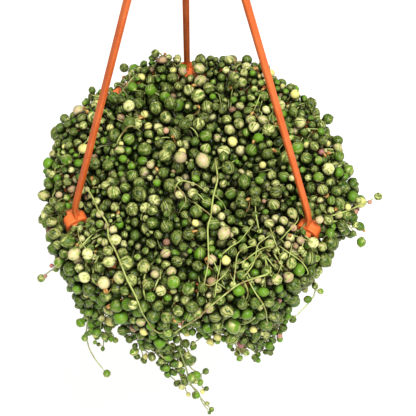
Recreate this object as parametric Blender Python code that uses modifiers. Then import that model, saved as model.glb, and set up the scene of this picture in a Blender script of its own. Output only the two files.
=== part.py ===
"""Hanging pot of string of pearls.

A turned plastic pot with a wide collar holds potting soil. A moulded hanger with three arms
clips over its rim and ends in a hook. The plant is many leafy bunches, each rooted in its own
hole in the soil: crown bunches in the middle, shoulder bunches round them, and trailing bunches
that cross the rim and hang down outside it.

Units are metres, +Z is up, and -Y is the front. The origin is the seat of the hook, where it
bears on whatever holds it.
"""

import math
import random

import bmesh
import bpy
import numpy as np
from mathutils import Matrix, Vector

# Pot, from its rim down. Radii are to the outside unless named inner.
RIM_Z = -0.289
RIM_RADIUS = 0.076
LIP_WIDTH = 0.005
LIP_EDGE = 0.0008
COLLAR_HEIGHT = 0.026
COLLAR_FOOT_RADIUS = 0.0752
WALL = 0.0015
POT_DEPTH = 0.100
BASE_RADIUS = 0.050
TURN_STEPS = 40
DRAIN_RADIUS = 0.004
DRAIN_RING = 0.030
DRAIN_COUNT = 4

# Soil, with its top below the rim and a hole for each bunch's root.
SOIL_CROWN_DEPTH = 0.0065
SOIL_EDGE_DEPTH = 0.0100
SOIL_FLAT_RADIUS = 0.035
SEAT_GAP = 0.0003
ROOT_RADIUS = 0.0015
ROOT_HOLE_RADIUS = 0.0022
ROOT_DEPTH = 0.008

# Hanger: bearings of its three arms, anticlockwise from +X, and its sections.
ARM_BEARINGS = (92.0, 204.0, 327.0)
ARM_WIDTH = 0.0036
ARM_FLANGE = 0.0014
ARM_RIB_WIDTH = 0.0013
ARM_RIB_DEPTH = 0.0016
ARM_FOOT_RADIUS = 0.0725
ARM_STAND = 0.012
ARM_KNEE = 0.0195
ARM_LEAN_SHARE = 0.08
FOOT_WIDTH = 0.006
FOOT_THICKNESS = 0.0026
FOOT_OUTER_LEG = 0.013
FOOT_INNER_LEG = 0.006
FOOT_TIP_SHARE = 0.35
FOOT_CHAMFER = 0.35
LIP_PLAY = 0.0005
WALL_PLAY = 0.0008
HUB_Z = -0.038
HUB_RADIUS = 0.0062
HUB_TOP_RADIUS = 0.0038
HUB_HEIGHT = 0.011
HUB_ARM_RADIUS = 0.0019
HOOK_INNER_RADIUS = 0.009
HOOK_BAR = 0.0044
HOOK_ARC = (235.0, -35.0)
HOOK_STEPS = 14
HOOK_NECK = ((0.0, -0.0270), (-0.0012, -0.0235))

# Plant: how far each trailing bunch hangs below the rim, in order from the back arm round.
TRAIL_DROPS = (
    0.046, 0.046, 0.040, 0.048, 0.045, 0.048, 0.046, 0.060,
    0.080, 0.098, 0.078, 0.080, 0.050, 0.066, 0.094, 0.060,
    0.042, 0.056, 0.048, 0.046, 0.042, 0.048, 0.044, 0.044,
)
TRAIL_ROOT_RING = 0.057
TRAIL_REACH = 0.0812
TRAIL_REACH_PLAY = (0.0, 0.0015)
TRAIL_LIFT_PLAY = (-0.0005, 0.0010)
LONGEST_TRAIL = 11
LONGEST_TAIL = 0.066
LONGEST_LEAN = 0.020
SHOULDER_COUNT = 14
SHOULDER_START = 6.0
SHOULDER_RING = 0.036
SHOULDER_SWIRL = 13.0
CROWN_COUNT = 6
CROWN_START = 20.0
CROWN_RING = 0.018
CROWN_SWIRL = 26.0
MIDDLE_BEARING = 300.0
DRIFT = 3.0
DRIFT_DEPTH = 0.050
DRIFT_WAVES = 3
DRIFT_PHASE = 40.0
STEM_RADIUS = 0.0012
STEM_TIP_RADIUS = 0.0009

# Stems' steps as (out from the root ring or the reach, height above the rim).
TRAIL_RISE = ((0.0040, 0.0005), (0.0120, 0.0035))
TRAIL_BEND = ((-0.0055, 0.0031), (-0.0012, -0.0002))
TRAIL_SHOULDER_DEPTH = 0.006
TRAIL_STEP = 0.016

# Creeping stems' steps as (share of the swirl, out from the root ring, height above the rim).
SHOULDER_STEPS = (
    (0.0, 0.0010, 0.0010), (0.25, 0.0070, 0.0055), (0.65, 0.0150, 0.0072), (1.0, 0.0230, 0.0090),
)
CROWN_STEPS = ((0.0, 0.0, 0.0015), (0.2, 0.0030, 0.0070), (1.0, 0.0110, 0.0085))
MIDDLE_STEPS = ((0.0, 0.0, 0.0030), (0.5, 0.0030, 0.0085), (1.0, 0.0070, 0.0105))

# Pearls, drawn larger than life so that they cover what the real ones cover.
PEARL_LARGEST = 0.0082
PEARL_AT_RIM = 0.0056
PEARL_SMALLEST = 0.0034
TAIL_PEARL_RADIUS = 0.0036
TIP_TAPER = 0.0022
PEARL_GAP = 0.0004
PEARL_NECKS = (0.0004, 0.0020)
PEARL_RING_LATITUDE = 30.0
TRAIL_SPREAD = (70.0, 1.04)
CREEP_SPREAD = (52.0, 0.70)
LEAST_PITCH = 0.0057
LEAN_SPREAD = 20.0
MOST_LEAN = 98.0
PEARL_TRIES = 12
PEARL_STEP = 0.002
SWELL = 1.03
SWELL_ROUNDS = 110
SHIFT_LEAN = 7.0
SHIFT_ALONG = 0.0008
SEED = 7

# The rounded bulk that the foliage keeps to, and how close it comes to the hanger.
CANOPY_RADIUS = 0.0900
CANOPY_TOP = 0.0180
CANOPY_WAIST = 0.0120
CANOPY_ROUNDING = 3.3
FACE_TURN = (0.066, 0.080)
FACE_OUT = 0.15
FACE_UP = 1.05
ARM_KEEP = 0.0032
CLIP_KEEP = 0.0042
TONGUE_KEEP = 0.0038

# A difference too small to matter.
ROUNDING = 0.00001

POT_ORANGE = (0.700, 0.165, 0.045, 1.0)
HANGER_ORANGE = (0.760, 0.185, 0.050, 1.0)
GREEN = (0.115, 0.235, 0.055, 1.0)
SOIL_BROWN = (0.035, 0.022, 0.014, 1.0)

draw = random.Random(SEED)


def start_collections():
    """Empties the scene and returns one collection for the pieces and one for the cutters."""
    for old in list(bpy.data.objects):
        bpy.data.objects.remove(old)
    made = []
    for name in ("String_of_pearls_pot", "Cutters"):
        collection = bpy.data.collections.new(name)
        bpy.context.scene.collection.children.link(collection)
        made.append(collection)
    made[1].hide_render = True
    return made


pieces, cutters = start_collections()


def material(name, colour, roughness):
    """A Principled material of one colour."""
    made = bpy.data.materials.new(name)
    made.use_nodes = True
    shader = made.node_tree.nodes["Principled BSDF"]
    shader.inputs["Base Color"].default_value = colour
    shader.inputs["Roughness"].default_value = roughness
    shader.inputs["Metallic"].default_value = 0.0
    return made


POT_PLASTIC = material("pot_plastic", POT_ORANGE, 0.50)
HANGER_PLASTIC = material("hanger_plastic", HANGER_ORANGE, 0.42)
EARTH = material("potting_soil", SOIL_BROWN, 0.95)
LEAF = material("pearl_green", GREEN, 0.35)


def new_object(name, data, collection, finish=None):
    """Links an object that holds this mesh or curve."""
    made = bpy.data.objects.new(name, data)
    collection.objects.link(made)
    if finish:
        data.materials.append(finish)
    return made


def polar(bearing, radius, z):
    """A point at a bearing in degrees and a radius from the pot's axis."""
    angle = math.radians(bearing)
    return Vector((radius * math.cos(angle), radius * math.sin(angle), z))


def turned(name, profile, finish):
    """A profile of (radius, height) below the rim, run down its outer side, turned about Z."""
    mesh = bpy.data.meshes.new(name)
    points = [(radius, 0.0, RIM_Z + height) for radius, height in profile]
    edges = [(i, i + 1) for i in range(len(points) - 1)]
    mesh.from_pydata(points, edges, [])
    made = new_object(name, mesh, pieces, finish)
    screw = made.modifiers.new("Turn", "SCREW")
    screw.steps = TURN_STEPS
    screw.render_steps = TURN_STEPS
    screw.use_merge_vertices = True
    screw.merge_threshold = 5 * ROUNDING
    return made


def applied(made):
    """Bakes an object's modifiers into its mesh."""
    graph = bpy.context.evaluated_depsgraph_get()
    mesh = bpy.data.meshes.new_from_object(made.evaluated_get(graph))
    made.modifiers.clear()
    made.data = mesh
    return made


def boolean(made, operation, collection):
    """One Boolean with a whole collection, applied, with the collection's objects then removed."""
    join = made.modifiers.new(operation.title(), "BOOLEAN")
    join.operation = operation
    join.operand_type = "COLLECTION"
    join.collection = collection
    bpy.context.view_layer.update()
    applied(made)
    for used in list(collection.objects):
        bpy.data.objects.remove(used)
    bpy.data.collections.remove(collection)
    return made


def group(name):
    """A fresh collection of cutters or of shapes to be joined."""
    made = bpy.data.collections.new(name)
    cutters.children.link(made)
    return made


def as_mesh(curve_object, collection):
    """The mesh of a curve, with the caps of its tube welded to its sides."""
    graph = bpy.context.evaluated_depsgraph_get()
    mesh = bpy.data.meshes.new_from_object(curve_object.evaluated_get(graph))
    shape = bmesh.new()
    shape.from_mesh(mesh)
    bmesh.ops.remove_doubles(shape, verts=shape.verts, dist=ROUNDING)
    bmesh.ops.recalc_face_normals(shape, faces=shape.faces)
    shape.to_mesh(mesh)
    shape.free()
    made = new_object(curve_object.name + "_mesh", mesh, collection)
    made.matrix_world = curve_object.matrix_world
    bpy.data.objects.remove(curve_object)
    return made


def inner_radius(depth):
    """The pot's inside radius at a depth below the rim."""
    top = RIM_RADIUS - LIP_WIDTH
    return top + (BASE_RADIUS - WALL - top) * depth / (POT_DEPTH - WALL)


def drill(collection, spot, radius, depth, sides):
    """A cylinder centred on a spot, in a collection of cutters."""
    bpy.ops.mesh.primitive_cylinder_add(vertices=sides, radius=radius, depth=depth, location=spot)
    cutter = bpy.context.object
    for home in list(cutter.users_collection):
        home.objects.unlink(cutter)
    collection.objects.link(cutter)
    cutter.hide_render = True
    cutter.display_type = "WIRE"


def pot():
    """Thin-walled pot whose lip folds out and down into a collar that stands clear of the wall."""
    lip_inner = RIM_RADIUS - LIP_WIDTH
    profile = (
        (0.0, WALL - POT_DEPTH),
        (BASE_RADIUS - WALL, WALL - POT_DEPTH),
        (lip_inner, -LIP_EDGE),
        (lip_inner + LIP_EDGE, 0.0),
        (RIM_RADIUS - LIP_EDGE, 0.0),
        (RIM_RADIUS, -LIP_EDGE),
        (COLLAR_FOOT_RADIUS, -COLLAR_HEIGHT),
        (COLLAR_FOOT_RADIUS - WALL, -COLLAR_HEIGHT),
        (RIM_RADIUS - WALL, -2 * WALL),
        (lip_inner + WALL, -2 * WALL),
        (BASE_RADIUS, -POT_DEPTH),
        (0.0, -POT_DEPTH),
    )
    made = applied(turned("pot", profile, POT_PLASTIC))
    drains = group("Drain_holes")
    for k in range(DRAIN_COUNT):
        spot = polar(45 + 360 * k / DRAIN_COUNT, DRAIN_RING, RIM_Z - POT_DEPTH)
        drill(drains, spot, DRAIN_RADIUS, 6 * WALL, 12)
    return boolean(made, "DIFFERENCE", drains)


def soil(roots):
    """Potting soil that fills the pot to just below its rim, with a hole for each root."""
    side = 2 * SEAT_GAP
    floor = POT_DEPTH - WALL - SEAT_GAP
    profile = (
        (0.0, -SOIL_CROWN_DEPTH),
        (SOIL_FLAT_RADIUS, -SOIL_CROWN_DEPTH),
        (inner_radius(SOIL_EDGE_DEPTH) - side, -SOIL_EDGE_DEPTH),
        (inner_radius(floor) - side, -floor),
        (0.0, -floor),
    )
    made = applied(turned("soil", profile, EARTH))
    holes = group("Root_holes")
    half = 2 * ROOT_DEPTH
    for root in roots:
        spot = root + Vector((0.0, 0.0, half - SEAT_GAP))
        drill(holes, spot, ROOT_HOLE_RADIUS, 2 * half, 6)
    return boolean(made, "DIFFERENCE", holes)


def soil_top(radius):
    """Height of the soil at a radius."""
    slope = RIM_RADIUS - LIP_WIDTH - SOIL_FLAT_RADIUS
    share = min(max((radius - SOIL_FLAT_RADIUS) / slope, 0.0), 1.0)
    return RIM_Z - SOIL_CROWN_DEPTH - share * (SOIL_EDGE_DEPTH - SOIL_CROWN_DEPTH)


def poly_curve(name, points, collection, radii=None):
    """A 3D curve of straight spans through points, with an optional radius at each."""
    curve = bpy.data.curves.new(name, "CURVE")
    curve.dimensions = "3D"
    curve.use_fill_caps = True
    spline = curve.splines.new("POLY")
    spline.points.add(len(points) - 1)
    for i, (spot, point) in enumerate(zip(spline.points, points)):
        spot.co = (*point, 1.0)
        if radii:
            spot.radius = radii[i]
    return new_object(name, curve, collection)


def arm_section():
    """The arm's T section: a flat strap outside and a rib inside, as a closed flat curve."""
    half, rib = ARM_WIDTH / 2, ARM_RIB_WIDTH / 2
    back, front = ARM_FLANGE / 2, -ARM_FLANGE / 2
    outline = (
        (-half, back), (-half, front), (-rib, front), (-rib, front - ARM_RIB_DEPTH),
        (rib, front - ARM_RIB_DEPTH), (rib, front), (half, front), (half, back),
    )
    curve = bpy.data.curves.new("Arm_section", "CURVE")
    curve.dimensions = "2D"
    spline = curve.splines.new("POLY")
    spline.points.add(len(outline) - 1)
    for spot, (x, y) in zip(spline.points, outline):
        spot.co = (x, y, 0.0, 1.0)
    spline.use_cyclic_u = True
    made = new_object("Arm_section", curve, cutters)
    made.hide_render = True
    made.display_type = "WIRE"
    return made


def arm_path():
    """An arm in the XZ plane: it stands on its foot, leans in over a soft bend and runs to the hub."""
    stand = Vector((ARM_FOOT_RADIUS, 0.0, RIM_Z + ARM_STAND))
    knee = Vector((ARM_FOOT_RADIUS, 0.0, RIM_Z + ARM_KNEE))
    hub = Vector((HUB_ARM_RADIUS, 0.0, HUB_Z))
    lean = knee.lerp(hub, ARM_LEAN_SHARE)
    bend = []
    for k in range(5):
        t = k / 4
        bend.append(stand.lerp(knee, t).lerp(knee.lerp(lean, t), t))
    start = Vector((ARM_FOOT_RADIUS, 0.0, RIM_Z + FOOT_THICKNESS * 0.5))
    return [start, *bend, lean.lerp(hub, 0.5), hub]


def foot_outline():
    """The clip in the XZ plane: a bridge over the lip, a long outer leg and a short inner one."""
    outer = RIM_RADIUS + LIP_PLAY
    inner = inner_radius(FOOT_INNER_LEG) - WALL_PLAY
    base, top = RIM_Z + SEAT_GAP, RIM_Z + SEAT_GAP + FOOT_THICKNESS
    thick = FOOT_THICKNESS
    return (
        (inner, base), (outer, base),
        (outer, RIM_Z - FOOT_OUTER_LEG), (outer + thick * FOOT_CHAMFER, RIM_Z - FOOT_OUTER_LEG),
        (outer + thick, RIM_Z - FOOT_INNER_LEG * 0.9), (outer + thick, base + thick * FOOT_CHAMFER),
        (outer + thick * FOOT_CHAMFER, top), (ARM_FOOT_RADIUS + thick, top + thick * 0.9),
        (ARM_FOOT_RADIUS - thick, top + thick * 0.9), (inner - thick * FOOT_CHAMFER, top),
        (inner - thick, base + thick * FOOT_CHAMFER), (inner - thick, RIM_Z - FOOT_INNER_LEG * 0.5),
        (inner - thick * FOOT_CHAMFER, RIM_Z - FOOT_INNER_LEG), (inner, RIM_Z - FOOT_INNER_LEG),
    )


def foot(bearing, collection):
    """The clip's outline, extruded, turned to its bearing and narrowed towards its outer tip."""
    curve = bpy.data.curves.new("Foot", "CURVE")
    curve.dimensions = "2D"
    curve.fill_mode = "BOTH"
    curve.extrude = FOOT_WIDTH / 2
    spline = curve.splines.new("POLY")
    outline = foot_outline()
    spline.points.add(len(outline) - 1)
    for spot, (x, z) in zip(spline.points, outline):
        spot.co = (x, z, 0.0, 1.0)
    spline.use_cyclic_u = True
    made = new_object("Foot", curve, collection)
    upright = Matrix.Rotation(math.radians(90), 4, "X")
    made.matrix_world = Matrix.Rotation(math.radians(bearing), 4, "Z") @ upright
    bpy.context.view_layer.update()
    made = as_mesh(made, collection)
    for vertex in made.data.vertices:
        if vertex.co.y < RIM_Z - FOOT_INNER_LEG - ROUNDING:
            vertex.co.z *= FOOT_TIP_SHARE
    return made


def hook_path():
    """The hook's middle line in the XZ plane: up from the hub, round the back and over to its tip."""
    reach = HOOK_INNER_RADIUS + HOOK_BAR / 2
    centre = Vector((0.0, 0.0, -HOOK_INNER_RADIUS))
    first, last = HOOK_ARC
    ring = []
    for k in range(HOOK_STEPS + 1):
        angle = math.radians(first + (last - first) * k / HOOK_STEPS)
        ring.append(centre + reach * Vector((math.cos(angle), 0.0, math.sin(angle))))
    neck = [Vector((x, 0.0, z)) for x, z in HOOK_NECK]
    return [Vector((0.0, 0.0, HUB_Z)), *neck, *ring]


def hanger():
    """One moulding: three T-section arms on clips, a round hub and a hook above it."""
    shapes = group("Hanger_shapes")
    section = arm_section()
    for bearing in ARM_BEARINGS:
        arm = poly_curve("Arm", arm_path(), cutters)
        arm.data.bevel_mode = "OBJECT"
        arm.data.bevel_object = section
        arm.matrix_world = Matrix.Rotation(math.radians(bearing), 4, "Z")
        bpy.context.view_layer.update()
        as_mesh(arm, shapes)
        foot(bearing, shapes)
    hook = poly_curve("Hook", hook_path(), cutters)
    hook.data.bevel_depth = HOOK_BAR / 2
    hook.data.bevel_resolution = 2
    bpy.context.view_layer.update()
    as_mesh(hook, shapes)
    bpy.data.objects.remove(section)
    mesh = bpy.data.meshes.new("hanger")
    shape = bmesh.new()
    bmesh.ops.create_cone(
        shape,
        cap_ends=True,
        segments=16,
        radius1=HUB_RADIUS,
        radius2=HUB_TOP_RADIUS,
        depth=HUB_HEIGHT,
        matrix=Matrix.Translation((0.0, 0.0, HUB_Z)),
    )
    shape.to_mesh(mesh)
    shape.free()
    made = new_object("hanger", mesh, pieces, HANGER_PLASTIC)
    return boolean(made, "UNION", shapes)


class Bunch:
    """A leafy bunch: its stem's stations, with the stem's radius and the largest pearl at each.

    lean is the usual angle of its pearls from the outward way, and pitch is how far apart they
    start, as a share of the largest.
    """

    def __init__(self, name, stations, lean, pitch):
        self.name, self.lean, self.pitch = name, lean, pitch
        self.points = [point for point, _, _ in stations]
        self.radii = [radius for _, radius, _ in stations]
        self.limits = [limit for _, _, limit in stations]
        self.pearls = []

    def at(self, distance):
        """The point, direction and largest pearl at a distance along the stem."""
        spans = zip(self.points, self.points[1:], self.limits, self.limits[1:])
        for a, b, first, last in spans:
            span = (b - a).length
            if distance <= span:
                share = distance / span
                return a.lerp(b, share), (b - a).normalized(), first + (last - first) * share
            distance -= span
        return self.points[-1], (self.points[-1] - self.points[-2]).normalized(), self.limits[-1]

    def length(self):
        return sum((b - a).length for a, b in zip(self.points, self.points[1:]))

    def bars(self):
        """The stem's spans as (end, end, radius)."""
        spans = zip(self.points, self.points[1:], self.radii, self.radii[1:])
        return [(a, b, max(first, last)) for a, b, first, last in spans]


def drifted(bearing, radius, height, stem, limit):
    """A station, with the drift round the pot that neighbours share and that grows with depth."""
    wave = math.sin(math.radians(DRIFT_WAVES * bearing + DRIFT_PHASE))
    bearing += DRIFT * wave * max(-height, 0.0) / DRIFT_DEPTH
    return polar(bearing, radius, RIM_Z + height), stem, limit


def trailing_bunch(number, bearing, drop):
    """Out of the soil near the wall, up over the lip and down outside the collar to its tip."""
    root = soil_top(TRAIL_ROOT_RING) - ROOT_DEPTH - RIM_Z
    reach = TRAIL_REACH + draw.uniform(*TRAIL_REACH_PLAY)
    lift = draw.uniform(*TRAIL_LIFT_PLAY)
    path = [
        (TRAIL_ROOT_RING, root, ROOT_RADIUS, 0.0),
        (TRAIL_ROOT_RING, root + 1.4 * ROOT_DEPTH, ROOT_RADIUS, 0.0),
    ]
    for out, height in TRAIL_RISE:
        path.append((TRAIL_ROOT_RING + out, height + lift, STEM_RADIUS, PEARL_AT_RIM))
    for back, height in TRAIL_BEND:
        path.append((reach + back, height + lift, STEM_RADIUS, PEARL_AT_RIM))
    path.append((reach, -TRAIL_SHOULDER_DEPTH, STEM_RADIUS, PEARL_LARGEST))
    spans = max(1, round(drop / TRAIL_STEP) - 1)
    for k in range(1, spans + 1):
        share = k / spans
        depth = TRAIL_SHOULDER_DEPTH + (drop - PEARL_LARGEST - TRAIL_SHOULDER_DEPTH) * share
        path.append((reach, -depth, STEM_TIP_RADIUS, PEARL_LARGEST - TIP_TAPER * share))
    stations = [drifted(bearing, *step) for step in path]
    if number == LONGEST_TRAIL:
        end = stations[-1][0]
        side = Matrix.Rotation(math.radians(bearing), 3, "Z") @ Vector((0.0, 1.0, 0.0))
        for k in range(1, 4):
            share = k / 3
            fall = Vector((0.0, 0.0, -LONGEST_TAIL * share))
            point = end + fall + side * LONGEST_LEAN * share**1.5
            stations.append((point, STEM_TIP_RADIUS, TAIL_PEARL_RADIUS))
    return Bunch(f"trailing_bunch_{number + 1:02d}", stations, *TRAIL_SPREAD)


def creeping_bunch(name, bearing, ring, swirl, steps):
    """Out of the soil and over the ground, turning a little round the pot as it goes."""
    root = soil_top(ring) - ROOT_DEPTH - RIM_Z
    stations = [
        drifted(bearing, ring, root, ROOT_RADIUS, 0.0),
        drifted(bearing, ring, root + 1.1 * ROOT_DEPTH, ROOT_RADIUS, 0.0),
    ]
    for share, out, height in steps:
        spot = (bearing + swirl * share, ring + out, height)
        stations.append(drifted(*spot, STEM_RADIUS, PEARL_LARGEST))
    return Bunch(name, stations, *CREEP_SPREAD)


def all_bunches():
    """Every bunch. The trailing ones share the three arcs between the hanger's clips."""
    bunches = []
    per_arc = len(TRAIL_DROPS) // len(ARM_BEARINGS)
    for arc, start in enumerate(ARM_BEARINGS):
        width = (ARM_BEARINGS[(arc + 1) % len(ARM_BEARINGS)] - start) % 360
        for k in range(per_arc):
            number = arc * per_arc + k
            bearing = start + width * (k + 0.5) / per_arc
            bunches.append(trailing_bunch(number, bearing, TRAIL_DROPS[number]))
    for k in range(SHOULDER_COUNT):
        name = f"shoulder_bunch_{k + 1:02d}"
        bearing = SHOULDER_START + 360 * k / SHOULDER_COUNT
        bunch = creeping_bunch(name, bearing, SHOULDER_RING, SHOULDER_SWIRL, SHOULDER_STEPS)
        bunches.append(bunch)
    for k in range(CROWN_COUNT):
        name = f"crown_bunch_{k + 1:02d}"
        bearing = CROWN_START + 360 * k / CROWN_COUNT
        bunches.append(creeping_bunch(name, bearing, CROWN_RING, CROWN_SWIRL, CROWN_STEPS))
    middle = f"crown_bunch_{CROWN_COUNT + 1:02d}"
    bunches.append(creeping_bunch(middle, MIDDLE_BEARING, 0.0, 0.0, MIDDLE_STEPS))
    return bunches


def hanger_bars():
    """The hanger's arms and clips as (end, end, radius) bars, for pearls to keep clear of."""
    bars = []
    for bearing in ARM_BEARINGS:
        turn = Matrix.Rotation(math.radians(bearing), 3, "Z")
        path = [turn @ point for point in arm_path()]
        bars += [(a, b, ARM_KEEP) for a, b in zip(path, path[1:])]
        top = RIM_Z + FOOT_THICKNESS
        inner = polar(bearing, inner_radius(FOOT_INNER_LEG) - FOOT_THICKNESS, top)
        outer = polar(bearing, RIM_RADIUS + FOOT_THICKNESS, top)
        bars.append((inner, outer, CLIP_KEEP))
        bars.append((inner, inner - Vector((0.0, 0.0, FOOT_INNER_LEG)), CLIP_KEEP))
        bars.append((outer, outer - Vector((0.0, 0.0, FOOT_OUTER_LEG)), TONGUE_KEEP))
    return bars


class Room:
    """What pearls keep clear of: the hanger, every stem and one another."""

    def __init__(self, bars):
        self.start = np.array([bar[0] for bar in bars])
        self.along = np.array([bar[1] for bar in bars]) - self.start
        self.thickness = np.array([bar[2] for bar in bars])
        self.balls = np.empty((0, 4))

    def holds(self, centre, radius, own=None):
        """True where a ball keeps its gap from everything but the ball numbered own."""
        need = radius + PEARL_GAP
        offset = np.array(centre) - self.start
        share = np.clip((offset * self.along).sum(1) / (self.along**2).sum(1), 0.0, 1.0)
        bar_gap = np.linalg.norm(offset - self.along * share[:, None], axis=1) - self.thickness
        ball_gap = np.linalg.norm(self.balls[:, :3] - np.array(centre), axis=1) - self.balls[:, 3]
        if own is not None:
            ball_gap[own] = math.inf
        return bool((bar_gap > need).all() and (ball_gap > need).all())


def to_segment(x, y, a, b):
    """Distance in a plane from (x, y) to the straight line between a and b."""
    dx, dy = b[0] - a[0], b[1] - a[1]
    share = ((x - a[0]) * dx + (y - a[1]) * dy) / (dx * dx + dy * dy)
    share = min(max(share, 0.0), 1.0)
    return math.hypot(x - a[0] - share * dx, y - a[1] - share * dy)


def in_canopy(out, height, radius):
    """True where a ball is within the rounded bulk that the foliage keeps to."""
    side = CANOPY_RADIUS - radius
    rise = max(height + CANOPY_WAIST, 0.0) / (CANOPY_WAIST + CANOPY_TOP - radius)
    return (out / side) ** CANOPY_ROUNDING + rise**CANOPY_ROUNDING < 1.0


def clear_of_pot(centre, radius):
    """True where a ball is within the canopy and clear of the lip, collar, wall and soil."""
    out, height = math.hypot(centre.x, centre.y), centre.z - RIM_Z
    lip, need = RIM_RADIUS - LIP_WIDTH, radius + PEARL_GAP
    if not in_canopy(out, height, radius):
        return False
    if to_segment(out, height, (lip, 0.0), (RIM_RADIUS, 0.0)) < need:
        return False
    if to_segment(out, height, (RIM_RADIUS, 0.0), (COLLAR_FOOT_RADIUS, -COLLAR_HEIGHT)) < need:
        return False
    if to_segment(out, height, (lip, 0.0), (BASE_RADIUS, -POT_DEPTH)) < need + WALL:
        return False
    return out > lip or centre.z - soil_top(out) > need


def facing(point):
    """The way the leafy surface faces: up over the pot, and away from its axis outside the rim."""
    out = math.hypot(point.x, point.y)
    start, end = FACE_TURN
    share = min(max((out - start) / (end - start), 0.0), 1.0)
    away = Vector((point.x, point.y, 0.0)) / max(out, ROUNDING)
    return (away * (share + FACE_OUT) + Vector((0.0, 0.0, FACE_UP - share))).normalized()


class Pearl:
    """One pearl: where its neck leaves the stem, its lean from the outward way, and its size."""

    def __init__(self, bunch, distance, lean, neck, radius):
        self.bunch, self.distance, self.lean = bunch, distance, lean
        self.neck, self.radius = neck, radius

    def centre(self):
        point, way, _ = self.bunch.at(self.distance)
        if self.lean is None:
            return point + way * (self.radius + STEM_RADIUS + PEARL_GAP)
        face = facing(point)
        face = (face - way * face.dot(way)).normalized()
        aim = Matrix.Rotation(math.radians(self.lean), 3, way) @ face
        return point + aim * (self.radius + STEM_RADIUS + self.neck)

    def root(self):
        """A point on the stem's middle line, or just inside its end for the pearl at the tip."""
        point, way, _ = self.bunch.at(self.distance)
        return point - way * STEM_RADIUS if self.lean is None else point

    def fits(self, room, own=None):
        """True where it is within its bunch's stem and size, and clear of everything else."""
        limit = self.bunch.at(self.distance)[2] + ROUNDING
        on_stem = self.lean is None or 0.0 < self.distance < self.bunch.length() - PEARL_STEP
        if not on_stem or self.radius > limit:
            return False
        centre = self.centre()
        return clear_of_pot(centre, self.radius) and room.holds(centre, self.radius, own)

    def moved(self):
        """The same pearl a little larger, at a drawn small step along and round its stem."""
        if self.lean is None:
            return Pearl(self.bunch, self.distance, None, self.neck, self.radius * SWELL)
        lean = self.lean + draw.gauss(0.0, SHIFT_LEAN)
        distance = self.distance + draw.gauss(0.0, SHIFT_ALONG)
        lean = min(max(lean, -MOST_LEAN), MOST_LEAN)
        return Pearl(self.bunch, distance, lean, self.neck, self.radius * SWELL)


def seated_pearls(bunches, room):
    """Small pearls along every stem, on either side in turn, nearer where they stay small."""
    pearls = []

    def seat(pearl):
        if pearl.fits(room):
            pearls.append(pearl)
            room.balls = np.vstack((room.balls, (*pearl.centre(), pearl.radius)))
            return True
        return False

    for bunch in bunches:
        seat(Pearl(bunch, bunch.length(), None, 0.0, PEARL_SMALLEST))
    seats = []
    for bunch in bunches:
        distance, k = PEARL_STEP, 0
        while distance < bunch.length() - PEARL_STEP:
            seats.append((bunch, distance, k))
            distance += max(bunch.pitch * bunch.at(distance)[2], LEAST_PITCH)
            k += 1
    draw.shuffle(seats)
    for bunch, distance, k in seats:
        for _ in range(PEARL_TRIES):
            lean = draw.gauss(bunch.lean * (1 if k % 2 else -1), LEAN_SPREAD)
            neck = draw.uniform(*PEARL_NECKS)
            if seat(Pearl(bunch, distance, lean, neck, PEARL_SMALLEST)):
                break
    return pearls


def grow_pearls(bunches):
    """Seats small pearls and lets them swell and shift until they fill the room they have."""
    bars = hanger_bars()
    for bunch in bunches:
        bars += bunch.bars()
    room = Room(bars)
    pearls = seated_pearls(bunches, room)
    order = list(range(len(pearls)))
    for _ in range(SWELL_ROUNDS):
        draw.shuffle(order)
        for i in order:
            trial = pearls[i].moved()
            if trial.fits(room, i):
                pearls[i] = trial
                room.balls[i] = (*trial.centre(), trial.radius)
    for grown in pearls:
        grown.bunch.pearls.append((grown.centre(), grown.radius, grown.root()))


def pearl(centre, radius, root, collection):
    """A faceted pearl: a beak, two turned rings of four points and a neck that ends in its stem."""
    aim = (centre - root).normalized()
    turn = aim.to_track_quat("Z", "Y").to_matrix()
    points = [centre + aim * radius, root]
    for latitude, twist in ((PEARL_RING_LATITUDE, 0), (-PEARL_RING_LATITUDE, 45)):
        for k in range(4):
            across = math.radians(90 * k + twist)
            flat = radius * math.cos(math.radians(latitude))
            lift = radius * math.sin(math.radians(latitude))
            spot = Vector((flat * math.cos(across), flat * math.sin(across), lift))
            points.append(centre + turn @ spot)
    mesh = bpy.data.meshes.new("Pearl")
    shape = bmesh.new()
    for point in points:
        shape.verts.new(point)
    bmesh.ops.convex_hull(shape, input=shape.verts)
    bmesh.ops.recalc_face_normals(shape, faces=shape.faces)
    shape.to_mesh(mesh)
    shape.free()
    new_object("Pearl", mesh, collection)


def leafy(bunch):
    """The bunch's stem as a tapered tube, joined to its pearls."""
    stem = poly_curve(bunch.name, bunch.points, cutters, bunch.radii)
    stem.data.bevel_depth = 1.0
    stem.data.bevel_resolution = 0
    bpy.context.view_layer.update()
    made = as_mesh(stem, pieces)
    made.name = bunch.name
    made.data.materials.append(LEAF)
    shapes = group(bunch.name + "_pearls")
    for centre, radius, root in bunch.pearls:
        pearl(centre, radius, root, shapes)
    return boolean(made, "UNION", shapes)


pot()
hanger()
bunches = all_bunches()
soil([bunch.points[0] for bunch in bunches])
grow_pearls(bunches)
for bunch in bunches:
    leafy(bunch)
for piece in pieces.objects:
    crease = 75 if piece.data.materials[0] == LEAF else 35
    piece.data.shade_smooth()
    piece.data.set_sharp_from_angle(angle=math.radians(crease))
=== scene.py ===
"""Potted string of pearls: the looks of its pot, soil, hanger and plant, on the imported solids.

Each section makes one piece, or one group of like pieces, in the order in which the pot is made
up: the pot, the soil in it, the hanger clipped to it, and then the plant's stems and pearls.
"""
import math
import random

import bmesh
import bpy
import numpy as np
from mathutils import Matrix, Vector


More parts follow.
